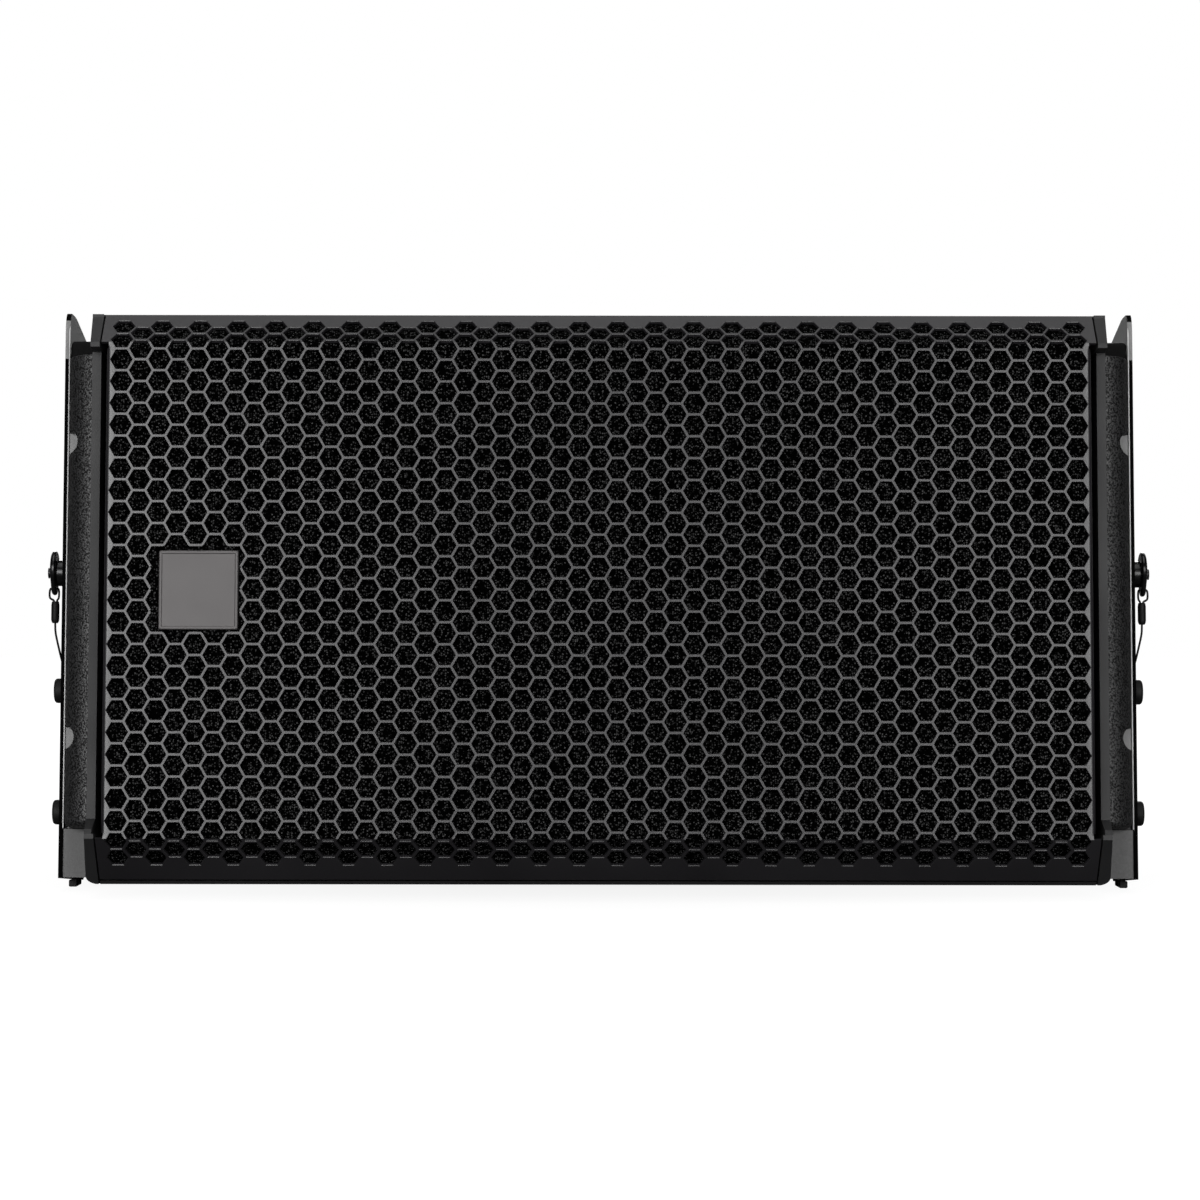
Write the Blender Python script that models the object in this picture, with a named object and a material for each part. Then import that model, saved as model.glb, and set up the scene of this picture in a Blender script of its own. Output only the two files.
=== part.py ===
"""Line array speaker: a compact two-way powered cabinet with its rigging hardware.

Every piece is modelled in the array frame: X to the right, Y from the grille face to the rear,
Z up from the middle of the body, with the front upright. The standing frame then leans it back by
the wedge angle, as it stands on its feet, with the origin under the middle of the body.
"""

import math

import bmesh
import bpy
import numpy as np
from mathutils import Vector
from mathutils.geometry import delaunay_2d_cdt

MM = 0.001
CLEARANCE = 0.3 * MM  # between pieces that touch or slide on each other

# Body
BODY_WIDTH = 421 * MM
BODY_HEIGHT = 235.2 * MM
BODY_DEPTH = 345 * MM
WEDGE_ANGLE = math.radians(5)
FLANK_STEP = 14.2 * MM  # flank beyond the front frame, on each side
REAR_TAPER = 38.7 * MM  # how far each flank draws in towards the rear wall
TAPER_LENGTH = 150 * MM
WALL = 8 * MM
FLANK_WALL = 22 * MM
SEAT_RIM = 10 * MM  # rim of the front opening that the baffle is screwed to
SHOULDER_DEPTH = 15 * MM
SHOULDER_TOP_DROP = 11.9 * MM  # shoulder ends below the top and above the bottom of the body
SHOULDER_FOOT_RISE = 24 * MM
POCKET_DEPTH = 210 * MM  # groove under each flank for the link of the cabinet below, open to the rear
NOTCH_RADIUS = 4.9 * MM
NOTCH_HEIGHTS = (69.2 * MM, -55.6 * MM)
NOTCH_LENGTH = 50 * MM

# Front frame
FRAME_DEPTH = 42 * MM
FRAME_BAR = 14.5 * MM
CHEEK_WIDTH = 5.8 * MM
RAIL_WIDTH = 4.5 * MM
RAIL_SETBACK = 13.7 * MM
CHEEK_OVERLAP = 2 * MM  # cheek beyond each fold of the grille
TOP_LIP = 1.3 * MM
BOTTOM_LIP = 2 * MM
LIP_THICKNESS = 1 * MM
LIP_RUN = 12 * MM
CORNER_WIDTH = 6.5 * MM
CORNER_HEIGHT = 3.2 * MM

# Grille, foam and badge
BAND_ANGLE = math.radians(45)
TOP_BAND = 17.25 * MM
BOTTOM_BAND = 23 * MM
GRILLE_SHEET = 1.5 * MM
GRILLE_SIDE_GAP = 3.7 * MM  # between the folded edge of the grille and the cheeks
FLANGE_DEPTH = 12 * MM
FLANGE_RELIEF = 2.5 * MM
HOLE_PITCH = 24 * MM
HOLE_ACROSS = 21.2 * MM
HOLE_MARGIN = 1.5 * MM
FOAM_THICKNESS = 4 * MM
FOAM_INSET = 3 * MM
BADGE_SIZE = 32.4 * MM
BADGE_THICKNESS = 1.2 * MM
BADGE_MARGIN = 2.8 * MM
BADGE_X = -163.2 * MM
BADGE_Z = 2 * MM

# Baffle and drivers
BAFFLE_THICKNESS = 12 * MM
WOOFER_SEGMENTS = 14
WOOFER_RADIUS = 83 * MM
WOOFER_EDGE = 3.4 * MM  # woofer flange to the edge of the baffle
WOOFER_CUTOUT_RADIUS = 74 * MM
WOOFER_FLANGE = 4 * MM
BASKET_DEPTH = 58 * MM
BASKET_WALL = 3 * MM
BASKET_BACK_RADIUS = 52 * MM
CONE_RADIUS = 60 * MM
CONE_DEPTH = 31 * MM
COIL_RADIUS = 19.5 * MM
CONE_SHEET = 2.5 * MM
SURROUND_SHEET = 1.4 * MM
SURROUND_ROLL = 6 * MM
MAGNET_RADIUS = 50 * MM
MAGNET_THICKNESS = 24 * MM
COIL_GAP = 3 * MM
HORN_MOUTH_HALF_WIDTH = 26 * MM
HORN_EDGE = 14.8 * MM  # waveguide's mouth to the edge of the baffle
HORN_THROAT_HALF = 12.5 * MM
HORN_LENGTH = 112 * MM
HORN_WALL = 3 * MM
HORN_FLANGE = 2.5 * MM
HORN_RIM = 7 * MM
DRIVER_RADIUS = 43 * MM
DRIVER_DEPTH = 50 * MM

# Rear: amplifier, sockets, controls and handles
PANEL_WIDTH = 300 * MM
PANEL_HEIGHT = 148 * MM
PANEL_SHEET = 3 * MM
PANEL_LAP = 8 * MM
FIN_COUNT = 13
FIN_THICKNESS = 2.2 * MM
FIN_DEPTH = 24.4 * MM
SINK_BASE = 4 * MM
SINK_WIDTH = 122 * MM
SINK_HEIGHT = 132 * MM
SINK_FROM_MIDDLE = 16 * MM
BOARD_SIDE_GAP = 6 * MM  # board to the sides of the rear opening
BOARD_END_GAP = 12 * MM
BOARD_SHEET = 2 * MM
STANDOFF = 8 * MM
STANDOFF_LENGTH = 43 * MM
SUPPLY_WIDTH = 70 * MM
SUPPLY_HEIGHT = 84 * MM
SUPPLY_DEPTH = 26 * MM
CAPACITOR_RADIUS = 9 * MM
CAPACITOR_LENGTH = 14 * MM
SOCKET_WIDTH = 26 * MM
SOCKET_HEIGHT = 31 * MM
SOCKET_FLANGE = 2.4 * MM
SOCKET_RADIUS = 11.8 * MM
SOCKET_DEPTH = 20 * MM
SOCKET_BORE = 9 * MM
SOCKET_BORE_DEPTH = 15 * MM
SOCKET_SETS = (94 * MM, 50 * MM)  # from the right-hand edge of the panel
MAINS_ROW = 40 * MM
SIGNAL_ROW = -3 * MM
CONTROL_ROW = -46 * MM
KNOB_SET = 94 * MM
KNOB_RADIUS = 8 * MM
KNOB_HEIGHT = 11 * MM
KNOB_SHAFT_RADIUS = 3 * MM
BUTTON_SETS = (60 * MM, 40 * MM)
BUTTON_RADIUS = 4 * MM
BUTTON_PROUD = 4 * MM
BUTTON_STEM = 12 * MM
HANDLE_INSET = 15 * MM  # handle's middle from the rear corner
HANDLE_WIDTH = 19 * MM
HANDLE_HALF_HEIGHT = 58 * MM
HANDLE_DEPTH = 27 * MM
HANDLE_GRIP = 17 * MM
HANDLE_FOOT = 12 * MM
HANDLE_POCKET = 24 * MM

# Side rigging
PLATE_SHEET = 2 * MM
PLATE_FRONT = 56.5 * MM
PLATE_DEPTH = 115 * MM
PLATE_BOTTOM_RISE = 3 * MM
PLATE_TIP_HEIGHT = 8.8 * MM  # ear above the top of the body
PLATE_TIP_RUN = 9 * MM
PLATE_EAR_LENGTH = 62 * MM
PLATE_EAR_SLOPE = math.radians(8)
PLATE_REAR_DROP = 16 * MM
PLATE_REAR_CUT = 27 * MM
BOLT_RADIUS = 3 * MM
BOLT_HEAD_RADIUS = 5.25 * MM
BOLT_HEAD = 3.6 * MM
BOLT_LENGTH = 15 * MM
BOLT_SET = 10.5 * MM  # front bolts behind the front edge of the plate
FRONT_BOLT_HEIGHTS = (-35.1 * MM, -86.6 * MM)
REAR_BOLT_SET = 98 * MM
REAR_BOLT_HEIGHT = 52 * MM
PIN_Y = 70 * MM
PIN_Z = 15.4 * MM
PIN_RADIUS = 3.15 * MM
PIN_LENGTH = 22 * MM
PIN_HUB_RADIUS = 5.65 * MM
PIN_HUB = 2.3 * MM
PIN_HANDLE = 3.8 * MM
PIN_HEAD_RADIUS = 8 * MM
PIN_TAIL_RADIUS = 3.6 * MM
PIN_HANDLE_RISE = 9.5 * MM  # handle above and below the pin's axis
PIN_EYE_RADIUS = 1.4 * MM
PIN_BUTTON_RADIUS = 2.35 * MM
PIN_BUTTON_PROUD = 1.4 * MM
PIN_BUTTON_LENGTH = 3.4 * MM
PIN_TRAVEL = 24 * MM
BUTTON_TRAVEL = 1.2 * MM
HOLE_CLEARANCE = 0.4 * MM  # round holes, over the radius of what passes through them
LINK_WIDTH = 18 * MM
LINK_SHEET = 4.4 * MM
LINK_TRAVEL = 28 * MM
LINK_TOP_DROP = 6.5 * MM
LINK_HOLE_DROP = 9 * MM
LINK_TAIL = 9 * MM

# Lanyards, on the right-hand side; the left is a mirror image
WIRE_RADIUS = 0.45 * MM
FERRULE_RADIUS = 1.95 * MM
FERRULE_TOP = 3.2 * MM
FERRULE_BOTTOM = -6 * MM
ANCHOR_Y = 113 * MM
ANCHOR_Z = -14.1 * MM
ANCHOR_RADIUS = 4 * MM
ANCHOR_HEAD = 4 * MM
ANCHOR_SHANK_RADIUS = 2 * MM
LANYARD_ROUTE = (  # outwards from the plate, depth, height
    (3.7 * MM, 70.0 * MM, -6.3 * MM),
    (3.6 * MM, 70.2 * MM, -10.0 * MM),
    (3.1 * MM, 71.5 * MM, -15.0 * MM),
    (2.4 * MM, 75.5 * MM, -21.0 * MM),
    (2.0 * MM, 83.0 * MM, -26.2 * MM),
    (1.9 * MM, 92.0 * MM, -28.8 * MM),
    (2.1 * MM, 102.5 * MM, -27.6 * MM),
    (2.4 * MM, 109.8 * MM, -23.0 * MM),
    (2.5 * MM, 112.7 * MM, -18.4 * MM),
)
LANYARD_COUNT = 28

# Rear rigging
BRACKET_SHEET = 3 * MM
BRACKET_INSIDE = 11 * MM
BRACKET_DEPTH = 26 * MM
BRACKET_TOP = 86 * MM
BRACKET_BOTTOM = -72 * MM
ARM_WIDTH = 18 * MM
ARM_SIDE_GAP = 0.5 * MM
ARM_LENGTH = 72 * MM
ARM_PIVOT_SET = 11 * MM  # pivot from the free edge of the bracket
ARM_PIVOT_Z = 66 * MM
ARM_PIVOT_RADIUS = 4 * MM
REAR_PIN_Z = -44 * MM
REAR_PIN_LENGTH = 21 * MM

# Feet
FOOT_Y = 88 * MM
FOOT_LENGTH = 14 * MM
FOOT_HEIGHT = 2.5 * MM
FOOT_LAP = 4.5 * MM
FOOT_LIP = 1.5 * MM
REAR_FOOT_RADIUS = 9 * MM
REAR_FOOT_X = 140 * MM
REAR_FOOT_Y = 310 * MM

SIDES = (("left", -1), ("right", 1))

# Places worked out from the sizes above
FRAME_HALF = BODY_WIDTH / 2
FLANK = FRAME_HALF + FLANK_STEP
REAR_HALF = FLANK - REAR_TAPER
HALF_HEIGHT = BODY_HEIGHT / 2
WEDGE = math.tan(WEDGE_ANGLE)
FOLD_TOP = HALF_HEIGHT - TOP_LIP - TOP_BAND * math.cos(BAND_ANGLE)
FOLD_BOTTOM = -HALF_HEIGHT + BOTTOM_LIP + BOTTOM_BAND * math.cos(BAND_ANGLE)
TOP_LIP_Y = TOP_BAND * math.sin(BAND_ANGLE)
BOTTOM_LIP_Y = BOTTOM_BAND * math.sin(BAND_ANGLE)
BAND_HALF = FRAME_HALF - CHEEK_WIDTH - CLEARANCE
GRILLE_HALF = FRAME_HALF - CHEEK_WIDTH - GRILLE_SIDE_GAP
BAFFLE_HALF = BAND_HALF
BAFFLE_HALF_HEIGHT = HALF_HEIGHT - FRAME_BAR - CLEARANCE
HORN_MOUTH_HALF_HEIGHT = BAFFLE_HALF_HEIGHT - HORN_EDGE
BAFFLE_FRONT = FRAME_DEPTH - BAFFLE_THICKNESS
CABINET_FRONT = FRAME_DEPTH + CLEARANCE
WOOFER_X = BAFFLE_HALF - WOOFER_EDGE - WOOFER_RADIUS
SHOULDER_FRONT = CABINET_FRONT + CLEARANCE
SHOULDER_TOP = HALF_HEIGHT - SHOULDER_TOP_DROP
SHOULDER_FOOT = -HALF_HEIGHT + SHOULDER_FOOT_RISE
PLATE_INSIDE = FLANK + CLEARANCE
PLATE_OUTSIDE = PLATE_INSIDE + PLATE_SHEET
PLATE_BOTTOM = -HALF_HEIGHT + PLATE_BOTTOM_RISE
PLATE_REAR = PLATE_FRONT + PLATE_DEPTH
FLOOR_Z = PLATE_BOTTOM - CLEARANCE - FOOT_HEIGHT
LINK_TOP = HALF_HEIGHT - LINK_TOP_DROP
SLOT_HALF = PIN_RADIUS + HOLE_CLEARANCE
LINK_BOTTOM = PIN_Z - LINK_TRAVEL - SLOT_HALF - LINK_TAIL
CHANNEL_FLOOR = FLANK - LINK_SHEET - 2 * CLEARANCE
PANEL_BACK = BODY_DEPTH + CLEARANCE
PANEL_FACE = PANEL_BACK + PANEL_SHEET
ON_PANEL = PANEL_FACE + CLEARANCE
REAR_OPENING_HALF = PANEL_WIDTH / 2 - 2 * PANEL_LAP
REAR_OPENING_HALF_HEIGHT = PANEL_HEIGHT / 2 - PANEL_LAP
SOCKET_COLUMNS = [PANEL_WIDTH / 2 - distance for distance in SOCKET_SETS]
BUTTON_COLUMNS = [PANEL_WIDTH / 2 - distance for distance in BUTTON_SETS]
KNOB_X = PANEL_WIDTH / 2 - KNOB_SET
PIVOT_Y = ON_PANEL + BRACKET_DEPTH - ARM_PIVOT_SET


def top(y):
    """Upper face of the wedge at a depth."""
    return HALF_HEIGHT - (y - TOP_LIP_Y) * WEDGE


def bottom(y):
    """Lower face of the wedge at a depth."""
    return -HALF_HEIGHT + (y - BOTTOM_LIP_Y) * WEDGE


def floor(y):
    """Level of the surface that the feet stand on, at a depth."""
    return FLOOR_Z + (y - FOOT_Y) * WEDGE


def beyond(level, extra):
    """A wedge face moved up or down by a fixed amount."""
    return lambda y: level(y) + extra


# Shapes

def solid(name, mesh):
    """Link a bmesh as a new object, with its faces pointing out."""
    bmesh.ops.recalc_face_normals(mesh, faces=mesh.faces)
    data = bpy.data.meshes.new(name)
    mesh.to_mesh(data)
    mesh.free()
    made = bpy.data.objects.new(name, data)
    bpy.context.scene.collection.objects.link(made)
    return made


def prism(name, outline, axis, low, high):
    """An outline across an axis, drawn out between two levels; along Z a level may follow the depth."""

    def place(a, b, level):
        if axis == "x":
            return (level, a, b)
        if axis == "y":
            return (a, level, b)
        return (a, b, level(b) if callable(level) else level)

    mesh = bmesh.new()
    ends = [[mesh.verts.new(place(a, b, level)) for a, b in outline] for level in (low, high)]
    for end in ends:
        mesh.faces.new(end)
    for i in range(len(outline)):
        mesh.faces.new((ends[0][i - 1], ends[0][i], ends[1][i], ends[1][i - 1]))
    return solid(name, mesh)


def block(name, x, y, z):
    """A box between pairs of limits; the height limits may follow the depth."""
    outline = [(x[0], y[0]), (x[1], y[0]), (x[1], y[1]), (x[0], y[1])]
    return prism(name, outline, "z", z[0], z[1])


def turned(name, profile, axis, centre, segments, ring=False):
    """A profile of (radius, distance along the axis) turned about an axis through a centre."""
    order = {"x": (1, 2, 0), "y": (0, 2, 1), "z": (0, 1, 2)}[axis]
    mesh = bmesh.new()

    def point(radius, along, angle):
        place = [0, 0, 0]
        place[order[0]] = centre[0] + radius * math.cos(angle)
        place[order[1]] = centre[1] + radius * math.sin(angle)
        place[order[2]] = along
        return mesh.verts.new(place)

    rows = []
    for radius, along in profile:
        if radius == 0:
            rows.append([point(0, along, 0)] * segments)
        else:
            rows.append([point(radius, along, math.tau * i / segments) for i in range(segments)])
    pairs = list(zip(rows, rows[1:] + rows[:1])) if ring else list(zip(rows, rows[1:]))
    for row, after in pairs:
        for i in range(segments):
            corners = [row[i - 1], row[i], after[i], after[i - 1]]
            face = list(dict.fromkeys(corners))
            if len(face) > 2:
                mesh.faces.new(face)
    return solid(name, mesh)


def drum(name, radius, axis, centre, low, high, segments=12):
    """A plain round bar, also the cutter of a round hole."""
    return turned(name, [(0, low), (radius, low), (radius, high), (0, high)], axis, centre, segments)


def arc(centre, radius, first, last, steps):
    """Points along an arc, between two angles in degrees."""
    points = []
    for i in range(steps + 1):
        angle = math.radians(first + (last - first) * i / steps)
        points.append((centre[0] + radius * math.cos(angle), centre[1] + radius * math.sin(angle)))
    return points


def combine(target, operation, tools):
    """Cut or join solids for good."""
    for tool in tools:
        modifier = target.modifiers.new(operation, "BOOLEAN")
        modifier.operation = operation
        modifier.solver = "EXACT"
        modifier.object = tool
    graph = bpy.context.evaluated_depsgraph_get()
    shaped = bpy.data.meshes.new_from_object(target.evaluated_get(graph))
    target.modifiers.clear()
    target.data = shaped
    for tool in tools:
        bpy.data.objects.remove(tool)
    return target


def cut(target, *tools):
    return combine(target, "DIFFERENCE", tools)


def join(target, *tools):
    return combine(target, "UNION", tools)


# Materials

def material(name, colour, roughness, metallic=0.0):
    """A Principled finish; the colour is an sRGB hex value."""
    made = bpy.data.materials.new(name)
    made.use_nodes = True
    shader = made.node_tree.nodes["Principled BSDF"]
    linear = []
    for i in (1, 3, 5):
        value = int(colour[i:i + 2], 16) / 255
        linear.append(value / 12.92 if value <= 0.04045 else ((value + 0.055) / 1.055) ** 2.4)
    shader.inputs["Base Color"].default_value = (*linear, 1)
    shader.inputs["Roughness"].default_value = roughness
    shader.inputs["Metallic"].default_value = metallic
    return made


FINISHES = {
    "moulded": ("#2b2b2c", 0.6, 0.0),
    "frame": ("#303031", 0.5, 0.0),
    "grille": ("#4c4b4e", 0.45, 0.3),
    "foam": ("#0b0b0b", 0.95, 0.0),
    "badge": ("#6c6a6a", 0.4, 0.4),
    "board": ("#3a3026", 0.8, 0.0),
    "paper": ("#1c1c1c", 0.85, 0.0),
    "rubber": ("#131313", 0.8, 0.0),
    "magnet": ("#3b3b3d", 0.6, 0.2),
    "aluminium": ("#3a3a3c", 0.45, 0.8),
    "circuit": ("#1f4a2c", 0.6, 0.0),
    "socket": ("#1d1d1f", 0.5, 0.0),
    "painted_steel": ("#1b1b1c", 0.5, 0.2),
    "zinc": ("#8d8d8f", 0.4, 0.9),
    "dark_bolt": ("#202022", 0.4, 0.7),
    "wire": ("#171717", 0.6, 0.0),
}


# Standing frame
for item in list(bpy.data.objects):
    bpy.data.objects.remove(item)
standing_frame = bpy.data.objects.new("standing_frame", None)
bpy.context.scene.collection.objects.link(standing_frame)
standing_frame.rotation_euler = (-WEDGE_ANGLE, 0, 0)


def piece(made, finish, origin=(0, 0, 0), smooth=False):
    """Give a finished solid its material, its origin and its place on the standing frame."""
    made.data.materials.clear()
    made.data.materials.append(material(made.name, *FINISHES[finish]))
    if made.type == "MESH":
        for vertex in made.data.vertices:
            vertex.co -= Vector(origin)
        if smooth:
            made.data.shade_smooth()
            made.data.set_sharp_from_angle(angle=math.radians(40))
    made.location = origin
    made.parent = standing_frame
    return made


# Cabinet: one moulded wedge with grained shoulders, link channels and pockets in its flanks

def make_cabinet():
    taper_start = BODY_DEPTH - TAPER_LENGTH
    step = CABINET_FRONT + SHOULDER_DEPTH
    half = [(FRAME_HALF, CABINET_FRONT), (FRAME_HALF, step), (FLANK, step),
            (FLANK, taper_start), (REAR_HALF, BODY_DEPTH)]
    outline = half + [(-x, y) for x, y in reversed(half)]
    body = prism("cabinet", outline, "z", bottom, top)

    shoulders = []
    for side, sign in SIDES:
        curve = []
        for x, y in arc((0, 0), 1, -90, 0, 6):
            curve.append((sign * (FRAME_HALF + FLANK_STEP * x), SHOULDER_FRONT + SHOULDER_DEPTH * (1 + y)))
        inner = sign * (FRAME_HALF - WALL)
        rear = step + WALL
        outline = [(inner, SHOULDER_FRONT)] + curve + [(sign * FLANK, rear), (inner, rear)]
        shoulders.append(prism("shoulder", outline, "z", SHOULDER_FOOT, SHOULDER_TOP))
    join(body, *shoulders)

    inside = FLANK - FLANK_WALL
    rear_inside = PANEL_WIDTH / 2 - CLEARANCE - WALL / 2
    pocket_front = BODY_DEPTH - HANDLE_POCKET
    half = [(inside, CABINET_FRONT + WALL), (inside, taper_start),
            (rear_inside, pocket_front - WALL), (rear_inside, BODY_DEPTH - WALL)]
    outline = half + [(-x, y) for x, y in reversed(half)]
    cavity = prism("cavity", outline, "z", beyond(bottom, WALL), beyond(top, -WALL))
    opening = (BAFFLE_HALF - SEAT_RIM, BAFFLE_HALF_HEIGHT - SEAT_RIM)
    front = block("front_opening", (-opening[0], opening[0]), (CABINET_FRONT - WALL, CABINET_FRONT + 2 * WALL),
                  (-opening[1], opening[1]))
    rear = block("rear_opening", (-REAR_OPENING_HALF, REAR_OPENING_HALF), (BODY_DEPTH - 2 * WALL, BODY_DEPTH + WALL),
                 (-REAR_OPENING_HALF_HEIGHT, REAR_OPENING_HALF_HEIGHT))
    cut(body, cavity, front, rear)

    for side, sign in SIDES:
        past = sign * (FLANK + WALL)
        tools = [block("pocket", (sign * (FRAME_HALF + CLEARANCE), past),
                       (CABINET_FRONT - WALL, CABINET_FRONT + POCKET_DEPTH), (-BODY_HEIGHT, SHOULDER_FOOT))]
        channel_half = LINK_WIDTH / 2 + CLEARANCE
        tools.append(block("channel", (sign * CHANNEL_FLOOR, past), (PIN_Y - channel_half, PIN_Y + channel_half),
                           (LINK_BOTTOM - CLEARANCE, BODY_HEIGHT)))
        for height in NOTCH_HEIGHTS:
            tools.append(drum("notch", NOTCH_RADIUS, "y", (sign * FLANK, height), CABINET_FRONT - WALL,
                              CABINET_FRONT + NOTCH_LENGTH))
        tools.append(drum("pin_hole", PIN_RADIUS + HOLE_CLEARANCE, "x", (PIN_Y, PIN_Z),
                          sign * (PLATE_OUTSIDE - PIN_LENGTH - WALL / 2), past))
        for y, z in bolt_places():
            tools.append(drum("bolt_hole", BOLT_RADIUS + HOLE_CLEARANCE, "x", (y, z),
                              sign * (PLATE_OUTSIDE - BOLT_LENGTH - CLEARANCE), past))
        tools.append(block("hand_pocket", (sign * (PANEL_WIDTH / 2 + CLEARANCE), sign * (FLANK + WALL)),
                           (pocket_front, BODY_DEPTH + WALL),
                           (HANDLE_FOOT - HANDLE_HALF_HEIGHT, HANDLE_HALF_HEIGHT - HANDLE_FOOT)))
        cut(body, *tools)
    return piece(body, "moulded")


def bolt_places():
    """Depth and height of the bolts of one side plate."""
    places = [(PLATE_FRONT + BOLT_SET, height) for height in FRONT_BOLT_HEIGHTS]
    for height in (REAR_BOLT_HEIGHT, -REAR_BOLT_HEIGHT):
        places.append((PLATE_FRONT + REAR_BOLT_SET, height))
    return places


# Front frame: side rails set back between cheeks that follow the folds, and a lip along each edge

def make_bezel():
    cheek_top = FOLD_TOP - CHEEK_OVERLAP
    cheek_bottom = FOLD_BOTTOM + CHEEK_OVERLAP
    profile = [
        (FRAME_DEPTH, top(FRAME_DEPTH)), (TOP_LIP_Y, HALF_HEIGHT), (TOP_LIP_Y, HALF_HEIGHT - TOP_LIP),
        (0, FOLD_TOP), (0, cheek_top), (RAIL_SETBACK, cheek_top), (RAIL_SETBACK, cheek_bottom),
        (0, cheek_bottom), (0, FOLD_BOTTOM), (BOTTOM_LIP_Y, -HALF_HEIGHT + BOTTOM_LIP),
        (BOTTOM_LIP_Y, -HALF_HEIGHT), (FRAME_DEPTH, bottom(FRAME_DEPTH)),
    ]
    inner = FRAME_HALF - CHEEK_WIDTH
    left = prism("bezel", profile, "x", -FRAME_HALF, -inner)
    right = prism("right_side", profile, "x", inner, FRAME_HALF)

    bars = []
    for level, lip_y, sign in ((top, TOP_LIP_Y, 1), (bottom, BOTTOM_LIP_Y, -1)):
        bar_front = lip_y + LIP_RUN
        inside = sign * (HALF_HEIGHT - FRAME_BAR)
        outline = [(lip_y, level(lip_y)), (FRAME_DEPTH, level(FRAME_DEPTH)), (FRAME_DEPTH, inside),
                   (bar_front, inside), (bar_front, level(bar_front) - sign * LIP_THICKNESS),
                   (lip_y, level(lip_y) - sign * LIP_THICKNESS)]
        bars.append(prism("bar", outline, "x", -inner - CHEEK_WIDTH / 2, inner + CHEEK_WIDTH / 2))
    join(left, right, *bars)

    tools = []
    for side, sign in SIDES:
        rail_inner = sign * (FRAME_HALF - RAIL_WIDTH)
        tools.append(block("rail_relief", (0.5 * rail_inner, rail_inner), (0, BAFFLE_FRONT - CLEARANCE),
                           (cheek_bottom, cheek_top)))
        corner = [(sign * FRAME_HALF * 1.1, -HALF_HEIGHT * 1.1), (sign * (FRAME_HALF - CORNER_WIDTH), -HALF_HEIGHT * 1.1)]
        for x, z in arc((0, 0), 1, -90, 0, 5):
            corner.append((sign * (FRAME_HALF - CORNER_WIDTH * (1 - x)), -HALF_HEIGHT + CORNER_HEIGHT * (1 + z)))
        corner.append((sign * FRAME_HALF * 1.1, -HALF_HEIGHT + CORNER_HEIGHT))
        tools.append(prism("corner", corner, "y", -FRAME_DEPTH, 2 * FRAME_DEPTH))
    return piece(cut(left, *tools), "frame")


# Grille: one sheet with hexagonal holes, folded back at 45 degrees along its top and bottom edges
# and square along its sides. The holes are drawn larger and fewer than the real 9 mm pattern.

def hole_centres(v_low, v_high):
    """Centres of the holes on the flat blank, clear of its margins and of the badge."""
    column_pitch = HOLE_PITCH * math.sqrt(3) / 2
    corner = HOLE_ACROSS / math.sqrt(3)
    half_columns = int((GRILLE_HALF - HOLE_MARGIN - corner) / column_pitch)
    middle = (v_low + v_high) / 2
    room = (v_high - v_low) / 2 - HOLE_MARGIN - HOLE_ACROSS / 2
    half_rows = int(room / HOLE_PITCH)
    web = HOLE_PITCH - HOLE_ACROSS
    clear_u = BADGE_SIZE / 2 + BADGE_MARGIN + web + corner
    clear_v = BADGE_SIZE / 2 + BADGE_MARGIN + web + HOLE_ACROSS / 2
    centres = []
    for column in range(-half_columns, half_columns + 1):
        odd = (column + half_columns) % 2
        rows = [row + 0.5 * odd for row in range(-half_rows, half_rows + 1 - odd)]
        for row in rows:
            u, v = column * column_pitch, middle + row * HOLE_PITCH
            if abs(u - BADGE_X) > clear_u or abs(v + FOLD_BOTTOM - BADGE_Z) > clear_v:
                centres.append((u, v))
    return centres


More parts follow.
